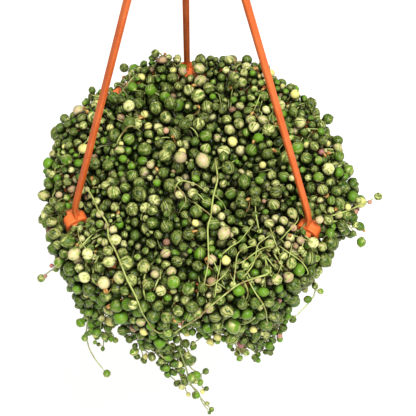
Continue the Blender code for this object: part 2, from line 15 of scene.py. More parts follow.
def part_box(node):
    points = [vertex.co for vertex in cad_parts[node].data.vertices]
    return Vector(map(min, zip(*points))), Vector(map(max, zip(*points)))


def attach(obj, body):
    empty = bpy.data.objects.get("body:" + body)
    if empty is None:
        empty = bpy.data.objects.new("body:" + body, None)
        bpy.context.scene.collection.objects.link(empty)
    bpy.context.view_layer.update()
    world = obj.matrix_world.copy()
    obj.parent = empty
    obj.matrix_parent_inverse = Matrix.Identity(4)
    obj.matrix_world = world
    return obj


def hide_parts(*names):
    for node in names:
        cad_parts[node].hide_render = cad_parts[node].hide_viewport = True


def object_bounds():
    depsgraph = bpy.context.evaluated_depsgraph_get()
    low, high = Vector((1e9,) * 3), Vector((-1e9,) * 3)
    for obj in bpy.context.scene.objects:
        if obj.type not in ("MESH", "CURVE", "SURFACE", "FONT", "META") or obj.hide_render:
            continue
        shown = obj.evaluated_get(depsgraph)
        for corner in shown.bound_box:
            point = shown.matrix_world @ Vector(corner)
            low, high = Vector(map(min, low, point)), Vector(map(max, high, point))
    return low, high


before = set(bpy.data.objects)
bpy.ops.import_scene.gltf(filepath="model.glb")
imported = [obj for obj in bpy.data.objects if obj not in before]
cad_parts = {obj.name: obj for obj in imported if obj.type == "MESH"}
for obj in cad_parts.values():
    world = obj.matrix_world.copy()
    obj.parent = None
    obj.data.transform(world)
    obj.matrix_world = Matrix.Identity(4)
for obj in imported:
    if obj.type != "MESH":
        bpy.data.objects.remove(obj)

cad_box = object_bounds()


# The viewpoint. The camera looks down over the front of the pot from about 0.6 m. Its place is
# given by real measures and by where the middle of the pot's rim falls in the photograph.
pot_low, pot_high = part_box("pot")
RIM_Z = pot_high.z
RIM_RADIUS = pot_high.x
VIEW_DISTANCE = 0.6067
VIEW_ELEVATION = math.radians(56.4)
VIEW_TILT = math.radians(-1.87)
PHOTO_SIDE = 416
PHOTO_FOCUS = 1074.1
RIM_PIXEL = np.array((194.7, 170.3))
SENSOR = 36.0

rim_middle = Vector((0.0, 0.0, RIM_Z))
view_way = Vector((0.0, math.cos(VIEW_ELEVATION), -math.sin(VIEW_ELEVATION)))
view_turn = view_way.to_track_quat("-Z", "Y").to_matrix() @ Matrix.Rotation(VIEW_TILT, 3, "Z")
view_point = rim_middle - view_way * VIEW_DISTANCE

camera = bpy.data.objects.new("viewpoint", bpy.data.cameras.new("viewpoint"))
bpy.context.scene.collection.objects.link(camera)
camera.location = view_point
camera.rotation_euler = view_turn.to_euler()
camera.data.sensor_width = SENSOR
camera.data.lens = SENSOR * PHOTO_FOCUS / PHOTO_SIDE
camera.data.shift_x = 0.5 - RIM_PIXEL[0] / PHOTO_SIDE
camera.data.shift_y = RIM_PIXEL[1] / PHOTO_SIDE - 0.5
camera.data.clip_start = 0.01
bpy.context.scene.camera = camera


# The pot: one moulding in orange plastic with a thin tapered wall, and a lip that folds out and
# down into a wide collar. Its base has four drain holes. The plastic is satin and a little dusty.
POT_DEPTH = pot_high.z - pot_low.z
POT_WALL = 0.0015
LIP_WIDTH = 0.005
LIP_EDGE = 0.0008
COLLAR_HEIGHT = 0.026
COLLAR_FOOT_RADIUS = 0.0752
BASE_RADIUS = 0.050
DRAIN_RADIUS = 0.004
DRAIN_RING = 0.030
DRAIN_COUNT = 4
DRAIN_START = 45.0
DRAIN_SIDES = 32
POT_EASE = 0.0009
POT_SIDES = 160
CREASE = 35.0
POT_ROUGHNESS = 0.46
POT_ORANGE = (0.640, 0.135, 0.036, 1.0)
POT_PALE = (0.780, 0.215, 0.070, 1.0)
DUST = (0.80, 0.42, 0.22, 1.0)


def lengths(ways, least=0.0):
    """The lengths of ways, or the least length for those that are shorter."""
    return np.maximum(np.linalg.norm(ways, axis=-1), least)


def unit(ways):
    """The same ways, each of length one."""
    return ways / lengths(ways, 1e-9)[..., None]


def rounded(corners, cut, steps=4):
    """An open outline whose inner corners are eased: each gives way to the parabola that leaves
    its two sides a cut away from it."""
    corners = np.array(corners)
    before, at, after = corners[:-2], corners[1:-1], corners[2:]

    def toward(end):
        """Each corner moved a cut towards its neighbour, or half the way where that is less."""
        way = end - at
        length = lengths(way)[:, None]
        return at + way / length * np.minimum(cut, length / 2.0)

    t = np.linspace(0.0, 1.0, steps + 1)[None, :, None]
    arcs = (1 - t) ** 2 * toward(before)[:, None] + 2 * t * (1 - t) * at[:, None]
    arcs = arcs + t**2 * toward(after)[:, None]
    return np.vstack((corners[:1], arcs.reshape(-1, corners.shape[1]), corners[-1:]))


def placed(x, y, z):
    """Points of the three coordinates, each repeated over the others' shape."""
    return np.stack(np.broadcast_arrays(x, y, z), axis=-1)


def closed_tube(rings, first, last):
    """Points, quads and triangles of rings of points joined in a row and closed by two fans."""
    rows, sides, _ = rings.shape
    points = np.vstack((rings.reshape(-1, 3), first, last))
    here = np.arange(rows * sides).reshape(rows, sides)
    right = np.roll(here, -1, axis=1)
    quads = np.stack((here[:-1], right[:-1], right[1:], here[1:]), axis=-1).reshape(-1, 4)
    low = np.stack((right[0], here[0], np.full(sides, rows * sides)), axis=-1)
    high = np.stack((here[-1], right[-1], np.full(sides, rows * sides + 1)), axis=-1)
    return points, quads, np.vstack((low, high))


def turn_angles(sides):
    """Even angles all the way round."""
    return 2 * math.pi * np.arange(sides) / sides


def turned(profile, sides):
    """A profile of (radius, height) that starts and ends on the axis, turned about Z: each point
    is (radius cos a, radius sin a, height)."""
    angle = turn_angles(sides)
    radius, height = profile[1:-1, 0, None], profile[1:-1, 1, None]
    rings = placed(radius * np.cos(angle), radius * np.sin(angle), height)
    return closed_tube(rings, (0.0, 0.0, profile[0, 1]), (0.0, 0.0, profile[-1, 1]))


def joined(shells):
    """Several shells of points, quads and triangles as one."""
    points, quads, triangles, start = [], [], [], 0
    for shell_points, shell_quads, shell_triangles in shells:
        points.append(shell_points)
        quads.append(shell_quads + start)
        triangles.append(shell_triangles + start)
        start += len(shell_points)
    return np.vstack(points), np.vstack(quads), np.vstack(triangles)


def facing_out(shell):
    """The same closed shell, turned over where the volume that it bounds comes out negative."""
    points, quads, triangles = shell
    corners = np.vstack((quads[:, :3], quads[:, (0, 2, 3)], triangles))
    a, b, c = points[corners].transpose(1, 0, 2)
    if np.einsum("ij,ij->i", a, np.cross(b, c)).sum() < 0.0:
        return points, quads[:, ::-1], triangles[:, ::-1]
    return shell


def new_piece(name, shell, *finishes, crease=CREASE):
    """A smooth-shaded object that holds a shell, with its materials."""
    points, quads, triangles = shell
    corners = np.concatenate((quads.ravel(), triangles.ravel())).astype(np.int32)
    sizes = np.repeat((4, 3), (len(quads), len(triangles)))
    starts = np.concatenate(((0,), np.cumsum(sizes)[:-1])).astype(np.int32)
    mesh = bpy.data.meshes.new(name)
    mesh.vertices.add(len(points))
    mesh.vertices.foreach_set("co", points.astype(np.float32).ravel())
    mesh.loops.add(len(corners))
    mesh.loops.foreach_set("vertex_index", corners)
    mesh.polygons.add(len(sizes))
    mesh.polygons.foreach_set("loop_start", starts)
    mesh.update(calc_edges=True)
    mesh.validate()
    mesh.shade_smooth()
    mesh.set_sharp_from_angle(angle=math.radians(crease))
    made = bpy.data.objects.new(name, mesh)
    bpy.context.scene.collection.objects.link(made)
    for finish in finishes:
        mesh.materials.append(finish)
    return made


def new_finish(name, roughness):
    """A material, its node tree and its Principled shader."""
    finish = bpy.data.materials.new(name)
    finish.use_nodes = True
    shader = finish.node_tree.nodes["Principled BSDF"]
    shader.inputs["Roughness"].default_value = roughness
    return finish, finish.node_tree, shader


def node(tree, kind, inputs=None, **settings):
    """A shader node with its settings, and its inputs set to values or linked from sockets."""
    made = tree.nodes.new("ShaderNode" + kind)
    for key, value in settings.items():
        setattr(made, key, value)
    for key, value in (inputs or {}).items():
        if isinstance(value, bpy.types.NodeSocket):
            tree.links.new(value, made.inputs[key])
        else:
            made.inputs[key].default_value = value
    return made


def maths(tree, operation, *values):
    """What a maths node makes of one or two values."""
    return node(tree, "Math", dict(enumerate(values)), operation=operation).outputs[0]


def bumped(tree, shader, height, strength, distance):
    """Gives a shader a bumpy skin."""
    bump = node(tree, "Bump", {"Height": height, "Strength": strength, "Distance": distance})
    tree.links.new(bump.outputs[0], shader.inputs["Normal"])


def blend(tree, share, first, second):
    """A colour between two, by a share."""
    return node(tree, "Mix", {0: share, 6: first, 7: second}, data_type="RGBA").outputs[2]


def eased(tree, value, start, end, low=0.0, high=1.0):
    """A value taken from start..end to low..high with soft ends."""
    inputs = {0: value, 1: start, 2: end, 3: low, 4: high}
    return node(tree, "MapRange", inputs, interpolation_type="SMOOTHSTEP").outputs[0]


def noise(tree, vector, scale, detail=3.0, roughness=0.55):
    """A cloudy value about 0.5 at a vector."""
    inputs = {"Vector": vector, "Scale": scale, "Detail": detail, "Roughness": roughness}
    return node(tree, "TexNoise", inputs).outputs["Fac"]


def moulded_plastic(name, deep, pale, roughness):
    """Orange plastic: the colour drifts a little, with pale dusty flecks and a fine orange-peel
    skin."""
    finish, tree, shader = new_finish(name, roughness)
    shader.inputs["Specular IOR Level"].default_value = 0.12
    place = node(tree, "TexCoord").outputs["Object"]
    drift = noise(tree, place, 38.0, 4.0)
    dust = eased(tree, noise(tree, place, 900.0, 5.0, 0.7), 0.56, 0.70)
    colour = blend(tree, eased(tree, drift, 0.35, 0.65), deep, pale)
    colour = blend(tree, maths(tree, "MULTIPLY", dust, 0.35), colour, DUST)
    tree.links.new(colour, shader.inputs["Base Color"])
    gloss = eased(tree, drift, 0.3, 0.7, roughness - 0.06, roughness + 0.08)
    tree.links.new(gloss, shader.inputs["Roughness"])
    bumped(tree, shader, noise(tree, place, 1400.0, 2.0), 0.12, 0.0004)
    return finish


lip_inner = RIM_RADIUS - LIP_WIDTH
pot_profile = rounded(
    (
        (0.0, POT_WALL - POT_DEPTH),
        (BASE_RADIUS - POT_WALL, POT_WALL - POT_DEPTH),
        (lip_inner, -LIP_EDGE),
        (lip_inner + LIP_EDGE, 0.0),
        (RIM_RADIUS - LIP_EDGE, 0.0),
        (RIM_RADIUS, -LIP_EDGE),
        (COLLAR_FOOT_RADIUS, -COLLAR_HEIGHT),
        (COLLAR_FOOT_RADIUS - POT_WALL, -COLLAR_HEIGHT),
        (RIM_RADIUS - POT_WALL, -2 * POT_WALL),
        (lip_inner + POT_WALL, -2 * POT_WALL),
        (BASE_RADIUS, -POT_DEPTH),
        (0.0, -POT_DEPTH),
    ),
    POT_EASE,
)
pot_profile[:, 1] += RIM_Z
pot_plastic = moulded_plastic("pot_plastic", POT_ORANGE, POT_PALE, POT_ROUGHNESS)
pot = new_piece("pot_moulding", facing_out(turned(pot_profile, POT_SIDES)), pot_plastic)
drill_mesh = bpy.data.meshes.new("drain_drills")
drill_shape = bmesh.new()
for k in range(DRAIN_COUNT):
    angle = math.radians(DRAIN_START + 360 / DRAIN_COUNT * k)
    spot = (DRAIN_RING * math.cos(angle), DRAIN_RING * math.sin(angle), RIM_Z - POT_DEPTH)
    bmesh.ops.create_cone(
        drill_shape, cap_ends=True, segments=DRAIN_SIDES, radius1=DRAIN_RADIUS,
        radius2=DRAIN_RADIUS, depth=6 * POT_WALL, matrix=Matrix.Translation(spot),
    )
drill_shape.to_mesh(drill_mesh)
drill_shape.free()
drill = bpy.data.objects.new("drain_drills", drill_mesh)
bpy.context.scene.collection.objects.link(drill)
cut = pot.modifiers.new("Drain_holes", "BOOLEAN")
cut.operation = "DIFFERENCE"
cut.object = drill
bpy.context.view_layer.update()
drilled = pot.evaluated_get(bpy.context.evaluated_depsgraph_get())
drilled_mesh = bpy.data.meshes.new_from_object(drilled)
pot.modifiers.clear()
pot.data = drilled_mesh
pot.data.set_sharp_from_angle(angle=math.radians(CREASE))
bpy.data.objects.remove(drill)
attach(pot, "root")
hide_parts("pot")


# The soil: dark peaty potting soil, filled in to just below the rim. Its top is uneven, with
# crumbs of peat lying on it.
SOIL_CROWN_DEPTH = 0.0065
SOIL_EDGE_DEPTH = 0.0100
SOIL_FLAT_RADIUS = 0.035
SOIL_GAP = 0.0003
SOIL_ROUGHNESS = 0.0007
SOIL_WAVES = 14
SOIL_SEED = 11
WAVE_STARTS = (0.0, 7.0)
SOIL_RIPPLE = (250.0, 1600.0)
SOIL_MIDDLE = 0.05
SOIL_START = 0.0012
SOIL_RINGS = 56
SOIL_SIDES = 150
CRUMB_COUNT = 420
CRUMB_SIZES = (0.0006, 0.0016)
CRUMB_EDGE = 0.003
CRUMB_REST = 0.3
CRUMB_CREASE = 60.0
LUMP_HEIGHT = 0.8
LUMP_PLAY = (0.7, 1.25)
PEAT_DARK = (0.012, 0.008, 0.005, 1.0)
PEAT_BROWN = (0.060, 0.036, 0.020, 1.0)


def inner_radius(depth):
    """The pot's inside radius at a depth below the rim, on a straight line to its base."""
    return lip_inner + (BASE_RADIUS - POT_WALL - lip_inner) * depth / (POT_DEPTH - POT_WALL)


def soil_top(radius):
    """Height of the soil's even surface: flat in the middle, and straight down to the edge."""
    share = np.clip((radius - SOIL_FLAT_RADIUS) / (lip_inner - SOIL_FLAT_RADIUS), 0.0, 1.0)
    return RIM_Z - SOIL_CROWN_DEPTH - share * (SOIL_EDGE_DEPTH - SOIL_CROWN_DEPTH)


def earth():
    """Damp peat: near-black, with brown fibres and a rough, crumbly surface."""
    finish, tree, shader = new_finish("potting_soil", 0.95)
    place = node(tree, "TexCoord").outputs["Object"]
    grain = noise(tree, place, 620.0, 6.0, 0.7)
    colour = blend(tree, eased(tree, grain, 0.45, 0.72), PEAT_DARK, PEAT_BROWN)
    tree.links.new(colour, shader.inputs["Base Color"])
    bumped(tree, shader, grain, 0.9, 0.001)
    return finish


peat = earth()
rng = np.random.default_rng(SOIL_SEED)
soil_edge = inner_radius(SOIL_EDGE_DEPTH)
soil_radius = np.append(
    np.linspace(SOIL_START, soil_edge - 2 * SOIL_GAP, SOIL_RINGS),
    (inner_radius(SOIL_MIDDLE), inner_radius(POT_DEPTH - POT_WALL) - 2 * SOIL_GAP),
)[:, None]
soil_x = soil_radius * np.cos(turn_angles(SOIL_SIDES))
soil_y = soil_radius * np.sin(turn_angles(SOIL_SIDES))
soil_z = soil_top(soil_radius) + np.zeros_like(soil_x)
for _ in range(SOIL_WAVES):
    way, ripple = rng.uniform(0, 2 * math.pi), rng.uniform(*SOIL_RIPPLE)
    start = rng.uniform(*WAVE_STARTS)
    wave = np.sin(ripple * (soil_x * math.cos(way) + soil_y * math.sin(way)) + start)
    soil_z += SOIL_ROUGHNESS * wave * (SOIL_RIPPLE[0] / ripple) ** 0.5
soil_z[-2] = RIM_Z - SOIL_MIDDLE
soil_z[-1] = RIM_Z - POT_DEPTH + POT_WALL + SOIL_GAP
soil_ends = (0, 0, soil_z[0].mean()), (0, 0, soil_z[-1, 0])
soil_shell = facing_out(closed_tube(placed(soil_x, soil_y, soil_z), *soil_ends))
soil = new_piece("soil_fill", soil_shell, peat)
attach(soil, "root")
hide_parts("soil")


def lumps(centres, sizes, sides=6, rows=3):
    """Closed lumps: on each, a ball's rings at latitude p, whose radius is the lump's size times
    cos p times a drawn unevenness."""
    latitude = math.pi * (np.arange(1, rows + 1) / (rows + 1) - 0.5)[:, None]
    angle = turn_angles(sides)
    flat = np.cos(latitude) * rng.uniform(*LUMP_PLAY, (len(centres), rows, sides))
    rings = placed(flat * np.cos(angle), flat * np.sin(angle), np.sin(latitude) * LUMP_HEIGHT)
    shells = []
    for centre, size, ring in zip(centres, sizes, rings):
        points, quads, triangles = closed_tube(ring, (0, 0, -LUMP_HEIGHT), (0, 0, LUMP_HEIGHT))
        shells.append((points * size + centre, quads, triangles))
    return joined(shells)


crumb_size = rng.uniform(*CRUMB_SIZES, CRUMB_COUNT)
crumb_radius = (soil_edge - CRUMB_EDGE) * np.sqrt(rng.uniform(0, 1, CRUMB_COUNT))
crumb_angle = rng.uniform(0, 2 * math.pi, CRUMB_COUNT)
crumb_x, crumb_y = crumb_radius * np.cos(crumb_angle), crumb_radius * np.sin(crumb_angle)
crumb_spots = placed(crumb_x, crumb_y, soil_top(crumb_radius) + CRUMB_REST * crumb_size)
crumbs = new_piece("soil_crumbs", lumps(crumb_spots, crumb_size), peat, crease=CRUMB_CREASE)
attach(crumbs, "root")


# The hanger: one moulding in the same orange plastic. Three slim arms with a rib on their inner
# side stand on saddle clips over the pot's lip, meet in a round hub, and carry a plain hook.
ARM_BEARINGS = (92.0, 204.0, 327.0)
ARM_WIDTH = 0.0036
ARM_FLANGE = 0.0014
ARM_RIB_WIDTH = 0.0013
ARM_RIB_DEPTH = 0.0016
ARM_FOOT_RADIUS = 0.0725
ARM_KNEE = 0.0100
ARM_KNEE_EASE = 0.0060
ARM_KNEE_STEPS = 10
ARM_EDGE = 0.00035
ARM_FLARE = 0.80
ARM_FLARE_LENGTH = 0.0075
ARM_FLARE_POWER = 1.5
FOOT_WIDTH = 0.0062
FOOT_THICKNESS = 0.0026
FOOT_OUTER_LEG = 0.0125
FOOT_INNER_LEG = 0.0052
FOOT_TIP_SHARE = 0.30
FOOT_EASE = 0.0036
FOOT_STEPS = 12
FOOT_ROUNDING = 0.45
FOOT_END_SHARE = 0.6
FOOT_THIN = 0.3
END_ROUND = 0.96
SPAN_STEP = 0.002
LEAST_SPANS = 8
SEAT_GAP = 0.0003
LIP_PLAY = 0.0005
WALL_PLAY = 0.0008
HUB_Z = -0.038
HUB_RADIUS = 0.0062
HUB_TOP_RADIUS = 0.0038
HUB_HEIGHT = 0.011
HUB_ARM_RADIUS = 0.0019
HOOK_INNER_RADIUS = 0.009
HOOK_BAR = 0.0044
HOOK_ARC = (235.0, -35.0)
HOOK_STEPS = 44
HOOK_TIP_STEPS = 5
HOOK_NECK = ((0.0, 0.0, -0.0270), (-0.0012, 0.0, -0.0235))
HOOK_SIDES = 20
HOOK_EASE = 0.0018
HUB_SIDES = 40
HUB_EASE = 0.0008
HANGER_ROUGHNESS = 0.58
HANGER_ORANGE = (0.620, 0.112, 0.020, 1.0)
HANGER_PALE = (0.730, 0.160, 0.040, 1.0)


def across(bearing):
    """The level way that runs round the pot at a bearing in degrees, and the way out from it."""
    angle = math.radians(bearing)
    out = np.array((math.cos(angle), math.sin(angle), 0.0))
    return np.array((-out[1], out[0], 0.0)), out


def run(path):
    """The distance along a path at each of its points."""
    return np.append(0, np.cumsum(lengths(np.diff(path, axis=0))))


def eased_path(corners, cut, steps):
    """A path through corners, eased at each as an outline is, and filled in along its spans."""
    path = rounded(corners, cut, steps)
    length = run(path)
    even = np.linspace(0.0, length[-1], max(int(length[-1] / SPAN_STEP), LEAST_SPANS))
    marks = np.unique(np.concatenate((length, even)))
    return np.stack([np.interp(marks, length, path[:, k]) for k in range(path.shape[1])], axis=-1)


def swept(bearing, path, section, widths, depths):
    """A section carried along a path in the upright plane at a bearing: each point is the path's,
    plus its across times the width there along the level way round the pot, and its out times the
    depth there along the way square to both that and the path."""
    side, out = across(bearing)
    way = unit(np.gradient(path, axis=0))
    off = section[:, 1] * depths[:, None]
    reach = path[:, 0, None] + way[:, 1, None] * off
    rings = reach[..., None] * out + (section[:, 0] * widths[:, None])[..., None] * side
    rings[..., 2] += path[:, 1, None] - way[:, 0, None] * off
    return facing_out(closed_tube(rings, rings[0].mean(axis=0), rings[-1].mean(axis=0)))


def arm(bearing):
    """A T section carried from the clip, where it flares, up to the hub."""
    half, rib = ARM_WIDTH / 2, ARM_RIB_WIDTH / 2
    outer, inner = ARM_FLANGE / 2, -ARM_FLANGE / 2
    corners = (
        (0.0, outer), (-half, outer), (-half, inner), (-rib, inner),
        (-rib, inner - ARM_RIB_DEPTH), (rib, inner - ARM_RIB_DEPTH), (rib, inner),
        (half, inner), (half, outer), (0.0, outer),
    )
    section = rounded(corners, ARM_EDGE, 3)[:-1]
    foot = (ARM_FOOT_RADIUS, RIM_Z + FOOT_THICKNESS * 0.5)
    knee = (ARM_FOOT_RADIUS, RIM_Z + ARM_KNEE)
    hub = (HUB_ARM_RADIUS, HUB_Z)
    path = eased_path((foot, knee, hub), ARM_KNEE_EASE, ARM_KNEE_STEPS)
    low = np.clip(1.0 - (path[:, 1] - foot[1]) / ARM_FLARE_LENGTH, 0.0, 1.0)
    flare = 1.0 + ARM_FLARE * low**ARM_FLARE_POWER
    return swept(bearing, path, section, flare, np.sqrt(flare))


def clip(bearing):
    """A band carried over the lip: up its inside, across, and down its outside as a tongue that
    narrows to a blunt tip. Both ends are rounded off."""
    thick = FOOT_THICKNESS
    inner = inner_radius(FOOT_INNER_LEG) - WALL_PLAY - thick / 2
    outer = RIM_RADIUS + LIP_PLAY + thick / 2
    top = SEAT_GAP + thick / 2
    band = ((inner, -FOOT_INNER_LEG), (inner, top), (outer, top), (outer, -FOOT_OUTER_LEG))
    path = eased_path(band, FOOT_EASE, FOOT_STEPS)
    corners = ((0, 1), (-1, 1), (-1, 0), (-1, -1), (0, -1), (1, -1), (1, 0), (1, 1), (0, 1))
    section = rounded(corners, FOOT_ROUNDING, 3)[:-1]
    length = run(path)
    tongue = np.where(path[:, 0] > ARM_FOOT_RADIUS, np.clip(-path[:, 1] / FOOT_OUTER_LEG, 0, 1), 0)
    ends = np.clip(np.minimum(length, length[-1] - length) / (thick * FOOT_END_SHARE), 0.0, 1.0)
    tip = np.sqrt(1.0 - (1.0 - ends) ** 2 * END_ROUND)
    widths = FOOT_WIDTH / 2 * (1.0 - (1.0 - FOOT_TIP_SHARE) * tongue) * tip
    depths = thick / 2 * (1.0 - FOOT_THIN * tongue) * tip
    path[:, 1] += RIM_Z
    return swept(bearing, path, section, widths, depths)


def rod(path, radii, side, sides):
    """A closed round rod along a path: each point is the path's, plus the radius times cos a
    along the side way and times sin a along the way square to it and the path."""
    way = unit(np.gradient(path, axis=0))
    second = unit(np.cross(way, side))
    first = np.cross(second, way)
    angle = turn_angles(sides)[:, None]
    radii = np.broadcast_to(radii, len(path))[:, None, None]
    ways = first[:, None] * np.cos(angle) + second[:, None] * np.sin(angle)
    rings = path[:, None] + radii * ways
    return facing_out(closed_tube(rings, path[0], path[-1]))


hook_reach = HOOK_INNER_RADIUS + HOOK_BAR / 2
hook_angle = np.radians(np.linspace(*HOOK_ARC, HOOK_STEPS))
hook_arc = placed(np.cos(hook_angle), 0.0, np.sin(hook_angle)) * hook_reach
hook_arc[:, 2] -= HOOK_INNER_RADIUS
hook_neck = rounded(((0.0, 0.0, HUB_Z), *HOOK_NECK, hook_arc[0]), HOOK_EASE)
hook_path = np.vstack((hook_neck[:-1], hook_arc))
hook_radius = np.full(len(hook_path), HOOK_BAR / 2)
hook_radius[-HOOK_TIP_STEPS:] *= np.sqrt(1.0 - np.linspace(0.0, END_ROUND, HOOK_TIP_STEPS) ** 2)
hub_low, hub_high = HUB_Z - HUB_HEIGHT / 2, HUB_Z + HUB_HEIGHT / 2
hub_profile = rounded(
    ((0.0, hub_low), (HUB_RADIUS, hub_low), (HUB_TOP_RADIUS, hub_high), (0.0, hub_high)), HUB_EASE
)
moulding = [arm(bearing) for bearing in ARM_BEARINGS]
moulding.append(facing_out(turned(hub_profile, HUB_SIDES)))
moulding.append(rod(hook_path, hook_radius, np.array((0.0, 1.0, 0.0)), HOOK_SIDES))
hanger_plastic = moulded_plastic("hanger_plastic", HANGER_ORANGE, HANGER_PALE, HANGER_ROUGHNESS)
hanger = new_piece("hanger_moulding", joined(moulding), hanger_plastic)
saddles = [clip(bearing) for bearing in ARM_BEARINGS]
clips = new_piece("hanger_clips", joined(saddles), hanger_plastic)
for piece in (hanger, clips):
    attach(piece, "root")
    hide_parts("hanger")


# The stems' routes: every bunch comes out of its own hole in the soil. Trailing bunches cross
# the lip and hang down, and the others creep over the soil. The routes are the solids' own.
SEED = 7
TRAIL_DROPS = (
    0.046, 0.046, 0.040, 0.048, 0.045, 0.048, 0.046, 0.060,
    0.080, 0.098, 0.078, 0.080, 0.050, 0.066, 0.094, 0.060,
    0.042, 0.056, 0.048, 0.046, 0.042, 0.048, 0.044, 0.044,
)
TRAIL_ROOT_RING = 0.057
TRAIL_REACH = 0.0812
TRAIL_REACH_PLAY = (0.0, 0.0015)
TRAIL_LIFT_PLAY = (-0.0005, 0.0010)
TRAIL_RISE = ((0.0040, 0.0005), (0.0120, 0.0035))
TRAIL_BEND = ((-0.0055, 0.0031), (-0.0012, -0.0002))
TRAIL_SHOULDER_DEPTH = 0.006
TRAIL_END = 0.0082
TRAIL_FALLS = 5
LONGEST_TRAIL = 11
LONGEST_TAIL = 0.066
LONGEST_LEAN = 0.020
LONGEST_BOW = 1.5
ROOT_DEPTH = 0.008
TRAIL_ROOT_RISE = 1.4
CREEP_ROOT_RISE = 1.1
SHOULDER_COUNT = 14
SHOULDER_START = 6.0
SHOULDER_RING = 0.036
SHOULDER_SWIRL = 13.0
SHOULDER_STEPS = (
    (0.0, 0.0010, 0.0010), (0.25, 0.0070, 0.0055), (0.65, 0.0150, 0.0072), (1.0, 0.0230, 0.0090),
)
CROWN_COUNT = 6
CROWN_START = 20.0
CROWN_RING = 0.018
CROWN_SWIRL = 26.0
CROWN_STEPS = ((0.0, 0.0, 0.0015), (0.2, 0.0030, 0.0070), (1.0, 0.0110, 0.0085))
MIDDLE_BEARING = 300.0
MIDDLE_STEPS = ((0.0, 0.0, 0.0030), (0.5, 0.0030, 0.0085), (1.0, 0.0070, 0.0105))
DRIFT = 3.0
DRIFT_DEPTH = 0.050
DRIFT_WAVES = 3
DRIFT_PHASE = 40.0

draw = random.Random(SEED)


def station(bearing, radius, height):
    """A point of a route, with the drift round the pot that grows with depth below the rim."""
    wave = math.sin(math.radians(DRIFT_WAVES * bearing + DRIFT_PHASE))
    angle = math.radians(bearing + DRIFT * wave * max(-height, 0.0) / DRIFT_DEPTH)
    return (radius * math.cos(angle), radius * math.sin(angle), RIM_Z + height)


def trailing_route(number, bearing, drop):
    """Out of the soil near the wall, up over the lip and down outside the collar."""
    root = soil_top(TRAIL_ROOT_RING) - ROOT_DEPTH - RIM_Z
    reach = TRAIL_REACH + draw.uniform(*TRAIL_REACH_PLAY)
    lift = draw.uniform(*TRAIL_LIFT_PLAY)
    steps = [(TRAIL_ROOT_RING, root), (TRAIL_ROOT_RING, root + TRAIL_ROOT_RISE * ROOT_DEPTH)]
    steps += [(TRAIL_ROOT_RING + out, height + lift) for out, height in TRAIL_RISE]
    steps += [(reach + back, height + lift) for back, height in TRAIL_BEND]
    depths = np.linspace(TRAIL_SHOULDER_DEPTH, drop - TRAIL_END, TRAIL_FALLS)
    steps += [(reach, -depth) for depth in depths]
    route = [station(bearing, radius, height) for radius, height in steps]
    if number == LONGEST_TRAIL:
        side, _ = across(bearing)
        end = np.array(route[-1])
        for share in (1 / 3, 2 / 3, 1.0):
            fall = np.array((0.0, 0.0, -LONGEST_TAIL * share))
            route.append(tuple(end + fall + side * LONGEST_LEAN * share**LONGEST_BOW))
    return np.array(route)


def creeping_route(bearing, ring, swirl, steps):
    """Out of the soil and over it, turning a little round the pot on the way."""
    root = soil_top(ring) - ROOT_DEPTH - RIM_Z
    rise = CREEP_ROOT_RISE * ROOT_DEPTH
    route = [station(bearing, ring, root), station(bearing, ring, root + rise)]
    for share, out, height in steps:
        route.append(station(bearing + swirl * share, ring + out, height))
    return np.array(route)


routes = {}
per_arc = len(TRAIL_DROPS) // len(ARM_BEARINGS)
for arc, start in enumerate(ARM_BEARINGS):
    width = (ARM_BEARINGS[(arc + 1) % len(ARM_BEARINGS)] - start) % 360
    for k in range(per_arc):
        number = arc * per_arc + k
        bearing = start + width * (k + 0.5) / per_arc
        name = f"trailing_bunch_{number + 1:02d}"
        routes[name] = trailing_route(number, bearing, TRAIL_DROPS[number])
for k in range(SHOULDER_COUNT):
    bearing = SHOULDER_START + 360 * k / SHOULDER_COUNT
    route = creeping_route(bearing, SHOULDER_RING, SHOULDER_SWIRL, SHOULDER_STEPS)
    routes[f"shoulder_bunch_{k + 1:02d}"] = route
for k in range(CROWN_COUNT):
    bearing = CROWN_START + 360 * k / CROWN_COUNT
    route = creeping_route(bearing, CROWN_RING, CROWN_SWIRL, CROWN_STEPS)
    routes[f"crown_bunch_{k + 1:02d}"] = route
name = f"crown_bunch_{CROWN_COUNT + 1:02d}"
routes[name] = creeping_route(MIDDLE_BEARING, 0.0, 0.0, MIDDLE_STEPS)


# The strings: each bunch is several thin green stems that fan out from its root, wander a little
# and end at their own lengths. One of each bunch runs to the bunch's full length.
STRINGS = {"trailing": 7, "shoulder": 5, "crown": 5}
STRING_SPREAD = {"trailing": 0.0090, "shoulder": 0.0105, "crown": 0.0095}
STRING_DEPTHS = {
    "trailing": (-0.0028, 0.0042), "shoulder": (-0.0035, 0.0085), "crown": (-0.0020, 0.0100),
}
STRING_SHORTEST = 0.62
STRING_GROWTH = {
    "trailing_bunch_09": 0.008, "trailing_bunch_10": 0.020, "trailing_bunch_11": 0.013,
    "trailing_bunch_13": 0.021, "trailing_bunch_14": 0.021, "trailing_bunch_15": 0.010,
    "trailing_bunch_16": -0.009, "trailing_bunch_17": -0.008,
}
STRING_LEAN = {
    "trailing_bunch_09": 0.0020, "trailing_bunch_10": -0.0040, "trailing_bunch_12": -0.0060,
    "trailing_bunch_15": -0.0035, "trailing_bunch_16": -0.0035,
}
TAIL_SHARES = (0.62, 0.88)
CANOPY_RADIUS = 0.0905
CANOPY_SHARES = (
    0.96, 0.93, 0.92, 0.92, 1.00, 0.99, 0.94, 1.05, 0.95, 0.90, 0.99, 0.96,
    0.94, 0.98, 0.98, 1.00, 1.01, 1.00, 1.00, 1.00, 0.98, 0.95, 0.98, 1.10,
)
CANOPY_FREE = (0.055, 0.025)
HANGING_RADIUS = 0.0788
CLIP_CLEAR = 0.0070
STRING_POINTS = 36
FAN_LENGTH = 0.014
WANDER = 0.0019
WANDER_LENGTHS = (0.004, 0.009)
RISE = 0.6 * WANDER
